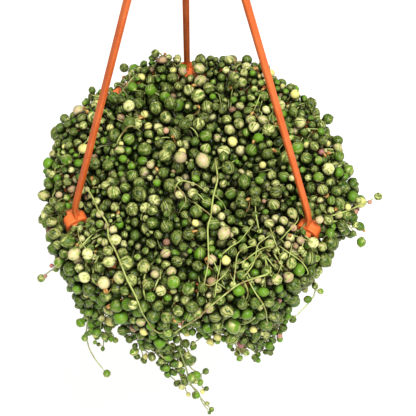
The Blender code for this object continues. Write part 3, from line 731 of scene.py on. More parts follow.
RISE_LENGTHS = (0.004, 0.008)
FULL_SHARES = (0.4, 0.3)
CREAM_DRAW = (1.2, 2.6)
SPREAD_JITTER = 0.0008
TURNING_OUT = (0.060, 0.022)
LEAST_AWAY = 0.1
MOST_UP = 1.05
LIGHT_LEAN = (0.010, 0.015, 0.0)
STEM_RADIUS = 0.00060
STEM_TIP_RADIUS = 0.00034


def along(path, marks):
    """Points of a path at distances from its start, straight between its own points."""
    length = run(path)
    return placed(*[np.interp(marks, length, path[:, k]) for k in range(3)])


def path_length(path):
    """The sum of the distances between a path's points."""
    return lengths(np.diff(path, axis=0)).sum()


def smoothed(values, rounds):
    """Values along a path, each drawn towards its neighbours in every round, with the ends kept."""
    for _ in range(rounds):
        values[1:-1] = (values[:-2] + 2 * values[1:-1] + values[2:]) / 4
    return values


def outward(points):
    """The way out of the foliage at points: up over the pot, and away from its axis outside."""
    out = np.hypot(points[:, 0], points[:, 1])
    share = np.clip((out - TURNING_OUT[0]) / TURNING_OUT[1], 0.0, 1.0)[:, None]
    away = placed(points[:, 0], points[:, 1], 0.0 * out)
    away /= np.maximum(out, 1e-4)[:, None]
    up = np.array((0.0, 0.0, 1.0))
    return unit(away * (share + LEAST_AWAY) + LIGHT_LEAN + up * (MOST_UP - share))


def surface_ways(path):
    """At each point of a path, the way out of the foliage made square to the path, and the way
    square to both, which lies along the foliage."""
    way = unit(np.gradient(path, axis=0))
    out = outward(path)
    side = unit(np.cross(out, way))
    return side, np.cross(way, side)


def canopy_share(points):
    """The foliage's reach at points' bearings as a share of its mean, straight between the stated
    shares, which lie evenly round the pot."""
    bearing = np.degrees(np.arctan2(points[..., 1], points[..., 0])) % 360
    marks = np.linspace(0, 360, len(CANOPY_SHARES) + 1)
    return np.interp(bearing, marks, CANOPY_SHARES + CANOPY_SHARES[:1])


def beside_clips(path):
    """A path whose points near an arm's plane, out by the rim, move sideways clear of its clip."""
    for bearing in ARM_BEARINGS:
        side, out = across(bearing)
        aside = path @ side
        short = np.maximum(CLIP_CLEAR - np.abs(aside), 0.0) * (path @ out > CANOPY_FREE[0])
        path = path + (np.sign(aside) * short)[:, None] * side
    return path


class Stem:
    """One string's stem: its bunch, its path, and how variegated its pearls are."""

    def __init__(self, bunch, path, cream):
        """Keeps the three."""
        self.bunch, self.path, self.cream = bunch, path, cream


stems = []
for bunch, route in routes.items():
    family = bunch.split("_")[0]
    count = STRINGS[family]
    order = rng.permutation(count)
    for k in range(count):
        full = k == 0
        share = 1.0 if full else rng.uniform(STRING_SHORTEST, 1.0)
        if bunch == f"trailing_bunch_{LONGEST_TRAIL + 1:02d}" and not full:
            share = rng.uniform(*TAIL_SHARES)
        whole = path_length(route) + STRING_GROWTH.get(bunch, 0.0)
        marks = np.linspace(0.0, whole * share, STRING_POINTS)
        path = smoothed(along(np.vstack((route, 2 * route[-1] - route[-2])), marks), 3)
        side, normal = surface_ways(path)
        fan = np.clip(marks / FAN_LENGTH, 0.0, 1.0)
        fan = fan**2 * (3 - 2 * fan)
        spread = STRING_SPREAD[family] * (2 * (order[k] + 0.5) / count - 1)
        spread = spread + rng.normal(0.0, SPREAD_JITTER)
        depth = rng.uniform(*STRING_DEPTHS[family])
        if full:
            spread, depth = np.multiply((spread, depth), FULL_SHARES)
        swing = WANDER * np.sin(marks / rng.uniform(*WANDER_LENGTHS) + rng.uniform(*WAVE_STARTS))
        rise = RISE * np.sin(marks / rng.uniform(*RISE_LENGTHS) + rng.uniform(*WAVE_STARTS))
        path = path + side * (fan * (spread + swing))[:, None]
        path = path + normal * (fan * (depth + rise))[:, None]
        path = path + side * (fan * STRING_LEAN.get(bunch, 0.0))[:, None]
        radius = np.hypot(path[:, 0], path[:, 1])
        free = np.clip((radius - CANOPY_FREE[0]) / CANOPY_FREE[1], 0.0, 1.0)
        shifted = radius * (1.0 + (canopy_share(path) - 1.0) * free)
        shifted = np.maximum(shifted, np.minimum(radius, HANGING_RADIUS)) + 1e-6
        path[:, :2] *= (shifted / np.maximum(radius, 1e-6))[:, None]
        stems.append(Stem(bunch, beside_clips(path), rng.beta(*CREAM_DRAW)))


# Room for the pearls: the foliage keeps to a rounded bulk, and off the pot, the soil, the hanger
# and the stems. It leans a little to the front, and stays away from the clips and from one bare
# stretch of the lip, so that these are seen.
CANOPY_SHIFT = -0.0040
CANOPY_TOP = 0.0190
CANOPY_WAIST = 0.0120
CANOPY_ROUNDING = 3.3
RIPPLE_COUNT = 6
RIPPLE_LENGTHS = (0.013, 0.028)
RIPPLE_HEIGHT = 0.0010
RIPPLE_RISE = 1.5
MOUND_RADIUS = 0.0110
MOUNDS = (
    ((272, 158), -0.0042), ((226, 86), -0.0035), ((290, 250), -0.0015), ((146, 236), -0.0035),
    ((118, 150), -0.0020), ((256, 208), 0.0040), ((185, 130), 0.0035), ((110, 272), 0.0020),
    ((205, 175), 0.0020), ((150, 190), 0.0015), ((285, 96), -0.0020), ((145, 66), -0.0030),
    ((222, 54), -0.0030), ((120, 88), -0.0030),
)
PEARL_GAP = 0.0001
ARM_KEEP = 0.0026
CLIP_KEEP = 0.0036
TONGUE_KEEP = 0.0022
CLIP_VIEW = (0.018, 0.0028)
BARE_LIP = ((121.5, 127.5), 0.0040)
BARE_HEIGHT = 0.001
ROOTED = (0.009, 0.004)
SIGHT_NEAR, SIGHT_FAR = 0.12, 0.14
MOUND_STEP = 0.0005
MOUND_LEVEL = 0.8

pot_lines = (
    ((lip_inner, 0.0), (RIM_RADIUS, 0.0), 0.0),
    ((RIM_RADIUS, 0.0), (COLLAR_FOOT_RADIUS, -COLLAR_HEIGHT), 0.0),
    ((lip_inner, 0.0), (BASE_RADIUS, -POT_DEPTH), POT_WALL),
)


def spot_at(bearing, radius, height):
    """A point at a bearing in degrees, a radius, and a height above the rim."""
    return across(bearing)[1] * radius + (0.0, 0.0, RIM_Z + height)


keep_off, keep_in_view = [], []
to_camera = -np.array(view_way)
for bearing in ARM_BEARINGS:
    knee = spot_at(bearing, ARM_FOOT_RADIUS, ARM_KNEE)
    foot = spot_at(bearing, ARM_FOOT_RADIUS, 0.0)
    hub = spot_at(bearing, HUB_ARM_RADIUS, HUB_Z - RIM_Z)
    clip_in = spot_at(bearing, inner_radius(FOOT_INNER_LEG) - FOOT_THICKNESS, FOOT_THICKNESS)
    clip_out = spot_at(bearing, RIM_RADIUS + FOOT_THICKNESS, FOOT_THICKNESS)
    tongue = clip_out - (0.0, 0.0, FOOT_OUTER_LEG)
    keep_off += [
        (foot, knee, ARM_KEEP), (knee, hub, ARM_KEEP), (clip_in, clip_out, CLIP_KEEP),
        (clip_out, tongue, TONGUE_KEEP), (clip_in, clip_in - (0, 0, FOOT_INNER_LEG), CLIP_KEEP),
    ]
    if bearing > 180.0:
        for part in (clip_in, 0.5 * (clip_in + clip_out), clip_out, 0.5 * (clip_out + tongue)):
            keep_in_view.append((part, part + to_camera * CLIP_VIEW[0], CLIP_VIEW[1]))
for bearing in BARE_LIP[0]:
    spot = spot_at(bearing, RIM_RADIUS, BARE_HEIGHT)
    keep_in_view.append((spot, spot + to_camera * CLIP_VIEW[0], BARE_LIP[1]))


def pushed_off(points, start, end, need):
    """Points moved straight away from a line between two ends until they keep their distance."""
    start, whole = np.array(start), np.subtract(end, start)
    share = np.clip((points - start) @ whole / (whole @ whole), 0, 1)
    offset = points - start - share[:, None] * whole
    distance = lengths(offset, 1e-6)
    short = np.maximum(need - distance, 0.0)
    return points + offset / distance[:, None] * short[:, None]


def sight_lines(pixels, far, step):
    """Points along the lines of sight through the photograph's pixels, by even steps from well
    before the rim's middle to a distance past it."""
    reach = np.arange(VIEW_DISTANCE - SIGHT_NEAR, VIEW_DISTANCE + far, step)
    sight = (np.array(pixels, float) - RIM_PIXEL) / PHOTO_FOCUS
    sight = unit(placed(sight[:, 0], -sight[:, 1], -1.0))
    return np.array(view_point) + (sight @ np.array(view_turn).T)[:, None] * reach[:, None]


mound_pixels, mound_heights = zip(*MOUNDS)
mound_sight = sight_lines(mound_pixels, SIGHT_FAR, MOUND_STEP)
mound_near = np.abs(mound_sight[..., 2] - RIM_Z - CANOPY_TOP * MOUND_LEVEL).argmin(axis=1)
mound_spots = mound_sight[np.arange(len(MOUNDS)), mound_near, :2]
ripple_ways = unit(rng.normal(0.0, 1.0, (RIPPLE_COUNT, 3)))
ripple_ways *= 2 * math.pi / rng.uniform(*RIPPLE_LENGTHS, (RIPPLE_COUNT, 1))
ripple_starts = rng.uniform(0.0, 2 * math.pi, RIPPLE_COUNT)


def canopy(points, sizes):
    """How far out points are in the canopy, (out / reach)^n + (rise / height)^n, for balls of
    these sizes. The reach goes by the bearing, the height has mounds and hollows of the form
    exp(-distance^2 / radius^2), and both have ripples, each the sine of a way times the point."""
    ripple = RIPPLE_HEIGHT * np.sin(points @ ripple_ways.T + ripple_starts).sum(axis=-1)
    away = ((points[..., None, :2] - mound_spots) ** 2).sum(axis=-1)
    mounds = np.exp(-away / MOUND_RADIUS**2) @ np.array(mound_heights)
    reach = CANOPY_RADIUS * canopy_share(points) + ripple
    height = CANOPY_WAIST + CANOPY_TOP + RIPPLE_RISE * ripple + mounds
    out = np.hypot(points[..., 0], points[..., 1] - CANOPY_SHIFT)
    rise = np.maximum(points[..., 2] - RIM_Z + CANOPY_WAIST, 0.0)
    shares = out / (reach - sizes), rise / (height - sizes)
    return shares[0] ** CANOPY_ROUNDING + shares[1] ** CANOPY_ROUNDING


def in_bounds(centres, sizes, bars, slack=0.0):
    """Balls put back inside the canopy, which is a cylinder below its waist, and off the pot, the
    soil and the bars. Slack is how far each may stand out of the canopy."""
    bulk = canopy(centres, sizes - slack)
    centres = centres - (0.0, CANOPY_SHIFT, 0.0)
    out = np.hypot(centres[:, 0], centres[:, 1])
    height = centres[:, 2] - RIM_Z
    shrink = np.where(bulk > 1.0, bulk ** (-1.0 / CANOPY_ROUNDING), 1.0)
    raised = height > -CANOPY_WAIST
    lowered = np.where(raised, (height + CANOPY_WAIST) * shrink - CANOPY_WAIST, height)
    centres = centres * placed(shrink, shrink, 1.0)
    centres[:, 2] = lowered + RIM_Z
    centres = centres + (0.0, CANOPY_SHIFT, 0.0)
    out = np.hypot(centres[:, 0], centres[:, 1])
    flat = np.stack((out, lowered), axis=-1)
    for start, end, wall in pot_lines:
        flat = pushed_off(flat, start, end, sizes + wall + 2 * PEARL_GAP)
    radius, height = flat.T
    ground = soil_top(radius) - RIM_Z + sizes
    height = np.where(radius < lip_inner - sizes, np.maximum(height, ground), height)
    scale = radius / np.maximum(out, 1e-6)
    centres = placed(centres[:, 0] * scale, centres[:, 1] * scale, height + RIM_Z)
    for start, end, keep in bars:
        centres = pushed_off(centres, start, end, sizes + keep)
    return centres


for stem in stems:
    bend = in_bounds(stem.path, np.full(STRING_POINTS, STEM_RADIUS), keep_off) - stem.path
    marks = path_length(stem.path) * np.linspace(0, 1, STRING_POINTS)
    rooted = np.clip((marks - ROOTED[0]) / ROOTED[1], 0, 1)
    stem.path = stem.path + smoothed(bend, 4) * rooted[:, None]


# Long stems that are followed in the photograph by their pixels. The runners lie bare across the
# top of the foliage, and the loose strings stand or hang clear of it and carry a few pearls.
RUNNERS = {
    "long_middle": (
        (216, 154), (217, 180), (213, 203), (208, 225), (209, 238), (207, 270), (204, 292),
    ),
    "long_left": (
        (84, 183), (97, 205), (107, 225), (108, 238), (120, 265), (132, 290), (143, 315),
        (152, 330), (165, 338),
    ),
    "low_right": (
        (275, 273), (262, 276), (249, 281), (235, 286), (218, 301), (195, 320), (170, 338),
    ),
    "high_left": ((115, 143), (130, 125), (141, 128)),
}
THIN_RUNNERS = {
    "low_fork": ((250, 282), (258, 296), (263, 305), (267, 316), (270, 328)),
    "right_bow": ((280, 245), (290, 253), (297, 258), (303, 264), (308, 271), (311, 280)),
    "far_right": ((281, 242), (287, 233), (293, 228), (299, 221), (303, 215)),
    "middle_fork": (
        (242, 282), (246, 273), (252, 266), (257, 255), (258, 244), (266, 238), (277, 228),
    ),
    "right_hook": ((234, 292), (235, 270), (236, 256), (240, 251), (250, 248), (258, 243)),
    "upper_cross": ((219, 258), (227, 252), (231, 246), (241, 240), (251, 229), (256, 222)),
    "low_cross": ((236, 266), (247, 258), (256, 253), (265, 247), (277, 243)),
    "side_cross": ((262, 254), (271, 263), (276, 269), (284, 268)),
    "left_rise": ((213, 304), (217, 285), (219, 273), (221, 260)),
    "left_cross": ((205, 290), (219, 282), (226, 274), (232, 270)),
    "knot_left": ((177, 182), (179, 188), (183, 194), (187, 200), (181, 208), (177, 216)),
    "knot_high": ((173, 191), (176, 183), (181, 180), (190, 183), (206, 188)),
    "knot_right": ((189, 200), (198, 206), (205, 210), (215, 217)),
    "knot_side": ((193, 192), (200, 194), (207, 203)),
    "middle_cross": ((211, 189), (217, 197), (222, 203), (228, 213)),
}
RUNNER_RADIUS = 0.00058
THIN_RADIUS = 0.00042
RUNNER_LIFT = 0.0004
RUNNER_SWING = 0.0004
RUNNER_WAVE = 0.0041
RUNNER_STEP = 0.0012
LOOSE_STEP = 0.002
LOOSE_FAR = 0.10
SIGHT_STEP = 0.0002
LOOSE_CREAM = 0.45
LOOSE_STRINGS = {
    "loose_right": (
        "height", 0.004, 0.002, ((330, 216), (345, 212), (358, 206), (367, 202), (373, 199)),
    ),
    "loose_right_low": ("height", 0.000, -0.006, ((326, 222), (340, 220), (350, 225), (357, 236))),
    "loose_far_left": ("out", 0.0870, 0.0960, ((68, 258), (58, 266), (50, 271), (44, 276))),
    "loose_low_left": (
        "out", 0.0880, 0.0880, ((88, 318), (86, 335), (89, 349), (96, 361), (103, 369)),
    ),
    "loose_low_right": (
        "out", 0.0880, 0.0880, ((312, 272), (316, 286), (314, 297), (305, 307), (297, 315)),
    ),
    "loose_bottom": (
        "out", 0.0850, 0.0850, ((180, 352), (186, 368), (190, 383), (199, 396), (210, 408)),
    ),
}


def on_canopy(pixels):
    """Where the lines of sight through pixels first meet the canopy: each line is stepped along
    in fifths of a millimetre until it is inside the surface."""
    points = sight_lines(pixels, SIGHT_FAR, SIGHT_STEP)
    inside = canopy(points, 0.0) < 1.0
    return points[np.arange(len(points)), inside.argmax(axis=1)]


def followed(measure, first, last, pixels):
    """Where the lines of sight through pixels come nearest to a distance out from the pot's axis,
    or to a height above its rim, taken from first to last along the pixels, on the near side."""
    points = sight_lines(pixels, LOOSE_FAR, SIGHT_STEP)
    value = np.hypot(points[..., 0], points[..., 1])
    if measure == "height":
        value = points[..., 2] - RIM_Z
    miss = np.abs(value - np.linspace(first, last, len(points))[:, None])
    near = miss < miss.min(axis=1, keepdims=True) + SIGHT_STEP
    return points[np.arange(len(points)), near.argmax(axis=1)]


def evened(path, step, rounds=5):
    """A path through its points with even steps, and its corners eased."""
    marks = np.linspace(0.0, path_length(path), max(int(path_length(path) / step), LEAST_SPANS))
    return smoothed(along(path, marks), rounds), marks


runner_paths = []
for pixels in (*RUNNERS.values(), *THIN_RUNNERS.values()):
    radius = RUNNER_RADIUS if len(runner_paths) < len(RUNNERS) else THIN_RADIUS
    path, marks = evened(on_canopy(pixels), RUNNER_STEP)
    side, normal = surface_ways(path)
    swing = RUNNER_SWING * np.sin(marks / RUNNER_WAVE + rng.uniform(*WAVE_STARTS))
    runner_paths.append((path + side * swing[:, None] + normal * (RUNNER_LIFT - radius), radius))
loose = {}
for name, course in LOOSE_STRINGS.items():
    path, _ = evened(followed(*course), LOOSE_STEP)
    loose[name] = Stem(name, path, LOOSE_CREAM)


# The pearls' places: they are drawn along every stem, on all sides in a spiral, and then swell
# and push one another about until they fill their room, each held by its neck to its own stem.
PEARL_PITCH = {"trailing": 0.0049, "shoulder": 0.0058, "crown": 0.0060}
PEARL_BARE = {"trailing": 0.011, "shoulder": 0.007, "crown": 0.006}
PEARL_TURN = 137.5
PEARL_MIDDLE = {"trailing": 0.0035, "shoulder": 0.0039, "crown": 0.0040}
PEARL_SLACK = 0.0010
HANGING_SHARE = 0.42
TAIL_THIN = (0.82, 0.50)
PEARL_SPREAD = 0.22
PEARL_RANGE = (0.0018, 0.0047)
PEARL_TIP = 0.0018
TIP_PLAY = (0.6, 1.2)
TIP_LEAN = (1.5, 0.3)
LEAN_OUT = 0.35
PEARL_JITTER = 0.0006
HANGING_DEPTH = 0.045
LONG_STRING = 0.158
PEARL_NECK = (0.0002, 0.0046)
PEARL_LEAST = 0.0011
NECK_MOST = 0.0075
TIP_LENGTH = 0.014
LOOSE_PEARLS = {
    "loose_right": (0.38, 0.55, 0.72, 0.86, 1.0),
    "loose_right_low": (0.30, 0.45, 0.60, 0.75, 0.90, 1.0),
    "loose_far_left": (0.30, 0.55, 0.80, 0.92, 1.0),
    "loose_low_left": (0.05, 0.16, 0.30, 0.42, 1.0),
    "loose_low_right": (0.15, 0.30, 0.45, 0.62, 0.80, 1.0),
    "loose_bottom": (0.05, 0.14, 0.24, 0.33, 0.42, 0.52, 0.66, 1.0),
}
LOOSE_PEARL = 0.0022
ROUNDS = 80
SEARCH_EVERY = 6
GROWTH = (0.6, 0.5)
SQUEEZE_GAP = 0.0002
PAIR_REACH = 0.0115
STEM_REACH = 0.0075
STEP_MOST = 0.0012
NEARBY = 0.001
COVERED = (
    (0.0700, -0.006), (0.0705, -0.003), (0.0715, 0.0), (0.0738, 0.0), (0.0758, 0.0),
    (0.0757, -0.004), (0.0756, -0.008), (0.0755, -0.012), (0.0754, -0.016), (0.0753, -0.020),
    (0.0752, -0.025),
)
LEFT_BARE = (125.0, *ARM_BEARINGS)
BARE_WIDTH = 4.5
BARE_STEM = 0.0018
FILLING = (0.0010, 0.0036)
FILLING_LIFTS = (0.0018, 0.0115, 0.0005)


def close_pairs(first, second, reach):
    """Index pairs of points nearer than a reach, by |a|^2 + |b|^2 - 2 a.b."""
    squares = (first**2).sum(axis=1)[:, None] + (second**2).sum(axis=1) - 2 * first @ second.T
    return np.nonzero(squares < reach**2)


def neighbours():
    """Index pairs of pearls that may touch, each pair once."""
    one, other = close_pairs(centres, centres, PAIR_REACH)
    return one[one < other], other[one < other]


anchors, sizes, owners, leans = [], [], [], []
for number, stem in enumerate(stems):
    length = path_length(stem.path)
    family = stem.bunch.split("_")[0]
    marks = np.arange(PEARL_BARE[family], length, PEARL_PITCH[family])
    marks = np.append(marks + rng.normal(0.0, PEARL_JITTER, len(marks)), length)
    if length > LONG_STRING:
        tail = marks > TAIL_THIN[0] * length
        marks = marks[~tail | (np.arange(len(marks)) % 2 == 0)]
    spots = along(stem.path, marks)
    way = unit(along(stem.path, marks + NEARBY) - along(stem.path, marks - NEARBY))
    side, normal = surface_ways(stem.path)
    index = np.round(marks / length * (STRING_POINTS - 1)).astype(int)
    index = np.clip(index, 0, STRING_POINTS - 1)
    turn = np.radians(PEARL_TURN * np.arange(len(marks)) + rng.uniform(0, 360))
    lean = side[index] * np.cos(turn)[:, None] + normal[index] * (np.sin(turn) + LEAN_OUT)[:, None]
    lean[-1] = way[-1] * TIP_LEAN[0] + TIP_LEAN[1] * lean[-1]
    size = PEARL_MIDDLE[family] * np.exp(rng.normal(0.0, PEARL_SPREAD, len(marks)))
    size *= 1.0 - HANGING_SHARE * np.clip((RIM_Z - spots[:, 2]) / HANGING_DEPTH, 0.0, 1.0)
    if length > LONG_STRING:
        size[marks > TAIL_THIN[0] * length] *= TAIL_THIN[1]
    taper = np.clip((length - marks) / TIP_LENGTH, 0.0, 1.0)
    tip = PEARL_TIP * rng.uniform(*TIP_PLAY)
    size = np.clip(size, *PEARL_RANGE) * taper + tip * (1 - taper)
    anchors.append(spots)
    sizes.append(size)
    leans.append(unit(lean))
    owners.append(np.full(len(marks), number))
anchors, sizes = np.vstack(anchors), np.concatenate(sizes)
leans, owners = np.vstack(leans), np.concatenate(owners)
stem_points = np.vstack([stem.path for stem in stems])
stem_numbers = np.repeat(np.arange(len(stems)), STRING_POINTS)
free_paths = [path for path, _ in runner_paths] + [stem.path for stem in loose.values()]
obstacles = np.vstack((stem_points, *free_paths))
obstacle_owner = np.append(stem_numbers, np.full(len(obstacles) - len(stem_points), -1))
centres = anchors + leans * (sizes[:, None] + STEM_RADIUS + NEARBY)
slack = rng.exponential(PEARL_SLACK, len(sizes))
for turn in range(ROUNDS):
    if turn % SEARCH_EVERY == 0:
        one, other = neighbours()
        ball, spot = close_pairs(centres, obstacles, STEM_REACH)
        free = obstacle_owner[spot] != owners[ball]
        ball, spot = ball[free], spot[free]
    grown = sizes * min(1.0, GROWTH[0] + GROWTH[1] * turn / ROUNDS)
    move = np.zeros_like(centres)
    offset = centres[one] - centres[other]
    distance = lengths(offset, 1e-6)
    overlap = np.maximum(grown[one] + grown[other] + PEARL_GAP - distance, 0.0)
    push = offset * (0.5 * overlap / distance)[:, None]
    np.add.at(move, one, push)
    np.add.at(move, other, -push)
    offset = centres[ball] - obstacles[spot]
    distance = lengths(offset, 1e-6)
    overlap = np.maximum(grown[ball] + STEM_RADIUS + PEARL_GAP - distance, 0.0)
    np.add.at(move, ball, offset * (0.5 * overlap / distance)[:, None])
    most = lengths(move, 1e-9)[:, None]
    centres = centres + move * np.minimum(1.0, STEP_MOST / most)
    neck = centres - anchors
    reach = lengths(neck, 1e-6)
    bare = grown + STEM_RADIUS
    held = np.clip(reach, bare + PEARL_NECK[0], bare + PEARL_NECK[1])
    held_out = anchors + neck * (held / reach)[:, None]
    centres = in_bounds(held_out, grown, keep_off + keep_in_view, slack)
one, other = neighbours()
distance = lengths(centres[one] - centres[other])
share = np.minimum(1.0, (distance + SQUEEZE_GAP) / (sizes[one] + sizes[other]))
squeeze = np.ones(len(centres))
np.minimum.at(squeeze, one, share)
np.minimum.at(squeeze, other, share)
sizes = sizes * squeeze
neck = lengths(centres - anchors) - sizes
kept = (sizes > PEARL_LEAST) & (neck < NECK_MOST)
centres, anchors, sizes, owners = centres[kept], anchors[kept], sizes[kept], owners[kept]

starts = np.array([start for start, _, _ in keep_off + keep_in_view])
spans = np.array([end for _, end, _ in keep_off + keep_in_view]) - starts
keeps = np.array([keep for _, _, keep in keep_off + keep_in_view])


def filler(spot):
    """One more pearl in front of a spot of the lip, the collar or a bare stem that still shows,
    as large as the room allows: its centre, size, anchor and stem, or nothing where it has none."""
    rise = (centres - spot) @ to_camera
    aside = lengths(centres - spot - rise[:, None] * to_camera)
    if ((aside < sizes) & (rise > 0.0)).any():
        return None
    tries = spot + to_camera * np.arange(*FILLING_LIFTS)[:, None]
    room = (lengths(tries[:, None] - centres) - sizes).min(axis=1)
    share = ((tries[:, None] - starts) * spans).sum(axis=2) / (spans**2).sum(axis=1)
    near = starts + np.clip(share, 0.0, 1.0)[..., None] * spans
    room = np.minimum(room, (lengths(tries[:, None] - near) - keeps).min(axis=1))
    room = np.minimum(room, lengths(tries - spot) - PEARL_GAP)
    best = room.argmax()
    reach = lengths(stem_points - tries[best])
    size = min(room[best], reach.min() - STEM_RADIUS - PEARL_GAP, FILLING[1])
    if size < FILLING[0] or reach.min() - size > NECK_MOST:
        return None
    return tries[best], size, stem_points[reach.argmin()], stem_numbers[reach.argmin()]


gaps = [
    spot_at(bearing, radius, height)
    for radius, height in COVERED for bearing in np.arange(0.0, 360.0, 2.0)
    if min(abs((bearing - bare + 180) % 360 - 180) for bare in LEFT_BARE) > BARE_WIDTH
]
above_rim = stem_points[stem_points[:, 2] > RIM_Z]
apart = (above_rim**2).sum(axis=1)[:, None] + (centres**2).sum(axis=1) - 2 * above_rim @ centres.T
apart = (np.sqrt(np.maximum(apart, 0.0)) - sizes).min(axis=1)
gaps += list(above_rim[apart > BARE_STEM])
for spot in gaps:
    found = filler(spot)
    if found:
        centres, sizes = np.vstack((centres, found[0])), np.append(sizes, found[1])
        anchors, owners = np.vstack((anchors, found[2])), np.append(owners, found[3])


# The skin of stems and pearls: waxy and a little see-through. Pearls run from deep to fresh
# green, with cream and pinkish streaks from end to end. A thin dark line with paler bands beside
# it, the leaf's window, runs along the side that faces the light, and the tip is dry.
# Painted shade: stems and pearls deep inside the foliage, where little light comes, are darkened
# towards DEEP_SHADE.
LEAF_DEEP = (0.006, 0.026, 0.002, 1.0)
LEAF_MIDDLE = (0.028, 0.086, 0.005, 1.0)
LEAF_FRESH = (0.115, 0.270, 0.012, 1.0)
LEAF_GREY = (0.200, 0.225, 0.058, 1.0)
LEAF_PALE = (0.460, 0.500, 0.150, 1.0)
CREAM = (0.740, 0.730, 0.330, 1.0)
PINKISH = (0.440, 0.270, 0.200, 1.0)
GOLD = (0.730, 0.670, 0.220, 1.0)
BUD_PINK = (0.500, 0.130, 0.190, 1.0)
WINDOW = (0.012, 0.022, 0.006, 1.0)
DRY_TIP = (0.150, 0.110, 0.050, 1.0)
STEM_GREEN = (0.350, 0.410, 0.105, 1.0)
STEM_BROWN = (0.230, 0.155, 0.055, 1.0)
DEEP_SHADE = (0.003, 0.006, 0.001, 1.0)
SHADE_RANGE = (0.33, 0.92)
SHADE_MOST = 0.92
SHADE_COVER_RANGE = (0.10, 0.88)
SHADE_COVER_MOST = 0.96
WINDOW_HALF_WIDTH = 0.080
SEED_SHIFT = (61.0, 37.0, 23.0)


def vector_maths(tree, operation, *values):
    """What a vector maths node makes of its vectors."""
    return node(tree, "VectorMath", dict(enumerate(values)), operation=operation).outputs[0]


def level_part(tree, vector):
    """A vector's level part and its length."""
    flat = vector_maths(tree, "MULTIPLY", vector, (1.0, 1.0, 0.0))
    return flat, node(tree, "VectorMath", {0: flat}, operation="LENGTH").outputs["Value"]


def shaded(tree, colour):
    """A colour that is deeper, as painted shade, the further inside the foliage it lies, where
    little light comes: by (out / reach)^3 + (rise / height)^3 of the object's own coordinates."""
    place = node(tree, "TexCoord").outputs["Object"]
    height = node(tree, "SeparateXYZ", {0: place}).outputs[2]
    cubes = []
    for value, low, high in (
        (height, RIM_Z - CANOPY_WAIST, RIM_Z + CANOPY_TOP),
        (level_part(tree, place)[1], 0.0, CANOPY_RADIUS),
    ):
        share = node(tree, "MapRange", {0: value, 1: low, 2: high, 3: 0.0, 4: 1.0}).outputs[0]
        cubes.append(maths(tree, "POWER", share, 3.0))
    bulk = maths(tree, "ADD", *cubes)
    return blend(tree, eased(tree, bulk, *SHADE_RANGE, SHADE_MOST, 0.0), colour, DEEP_SHADE)


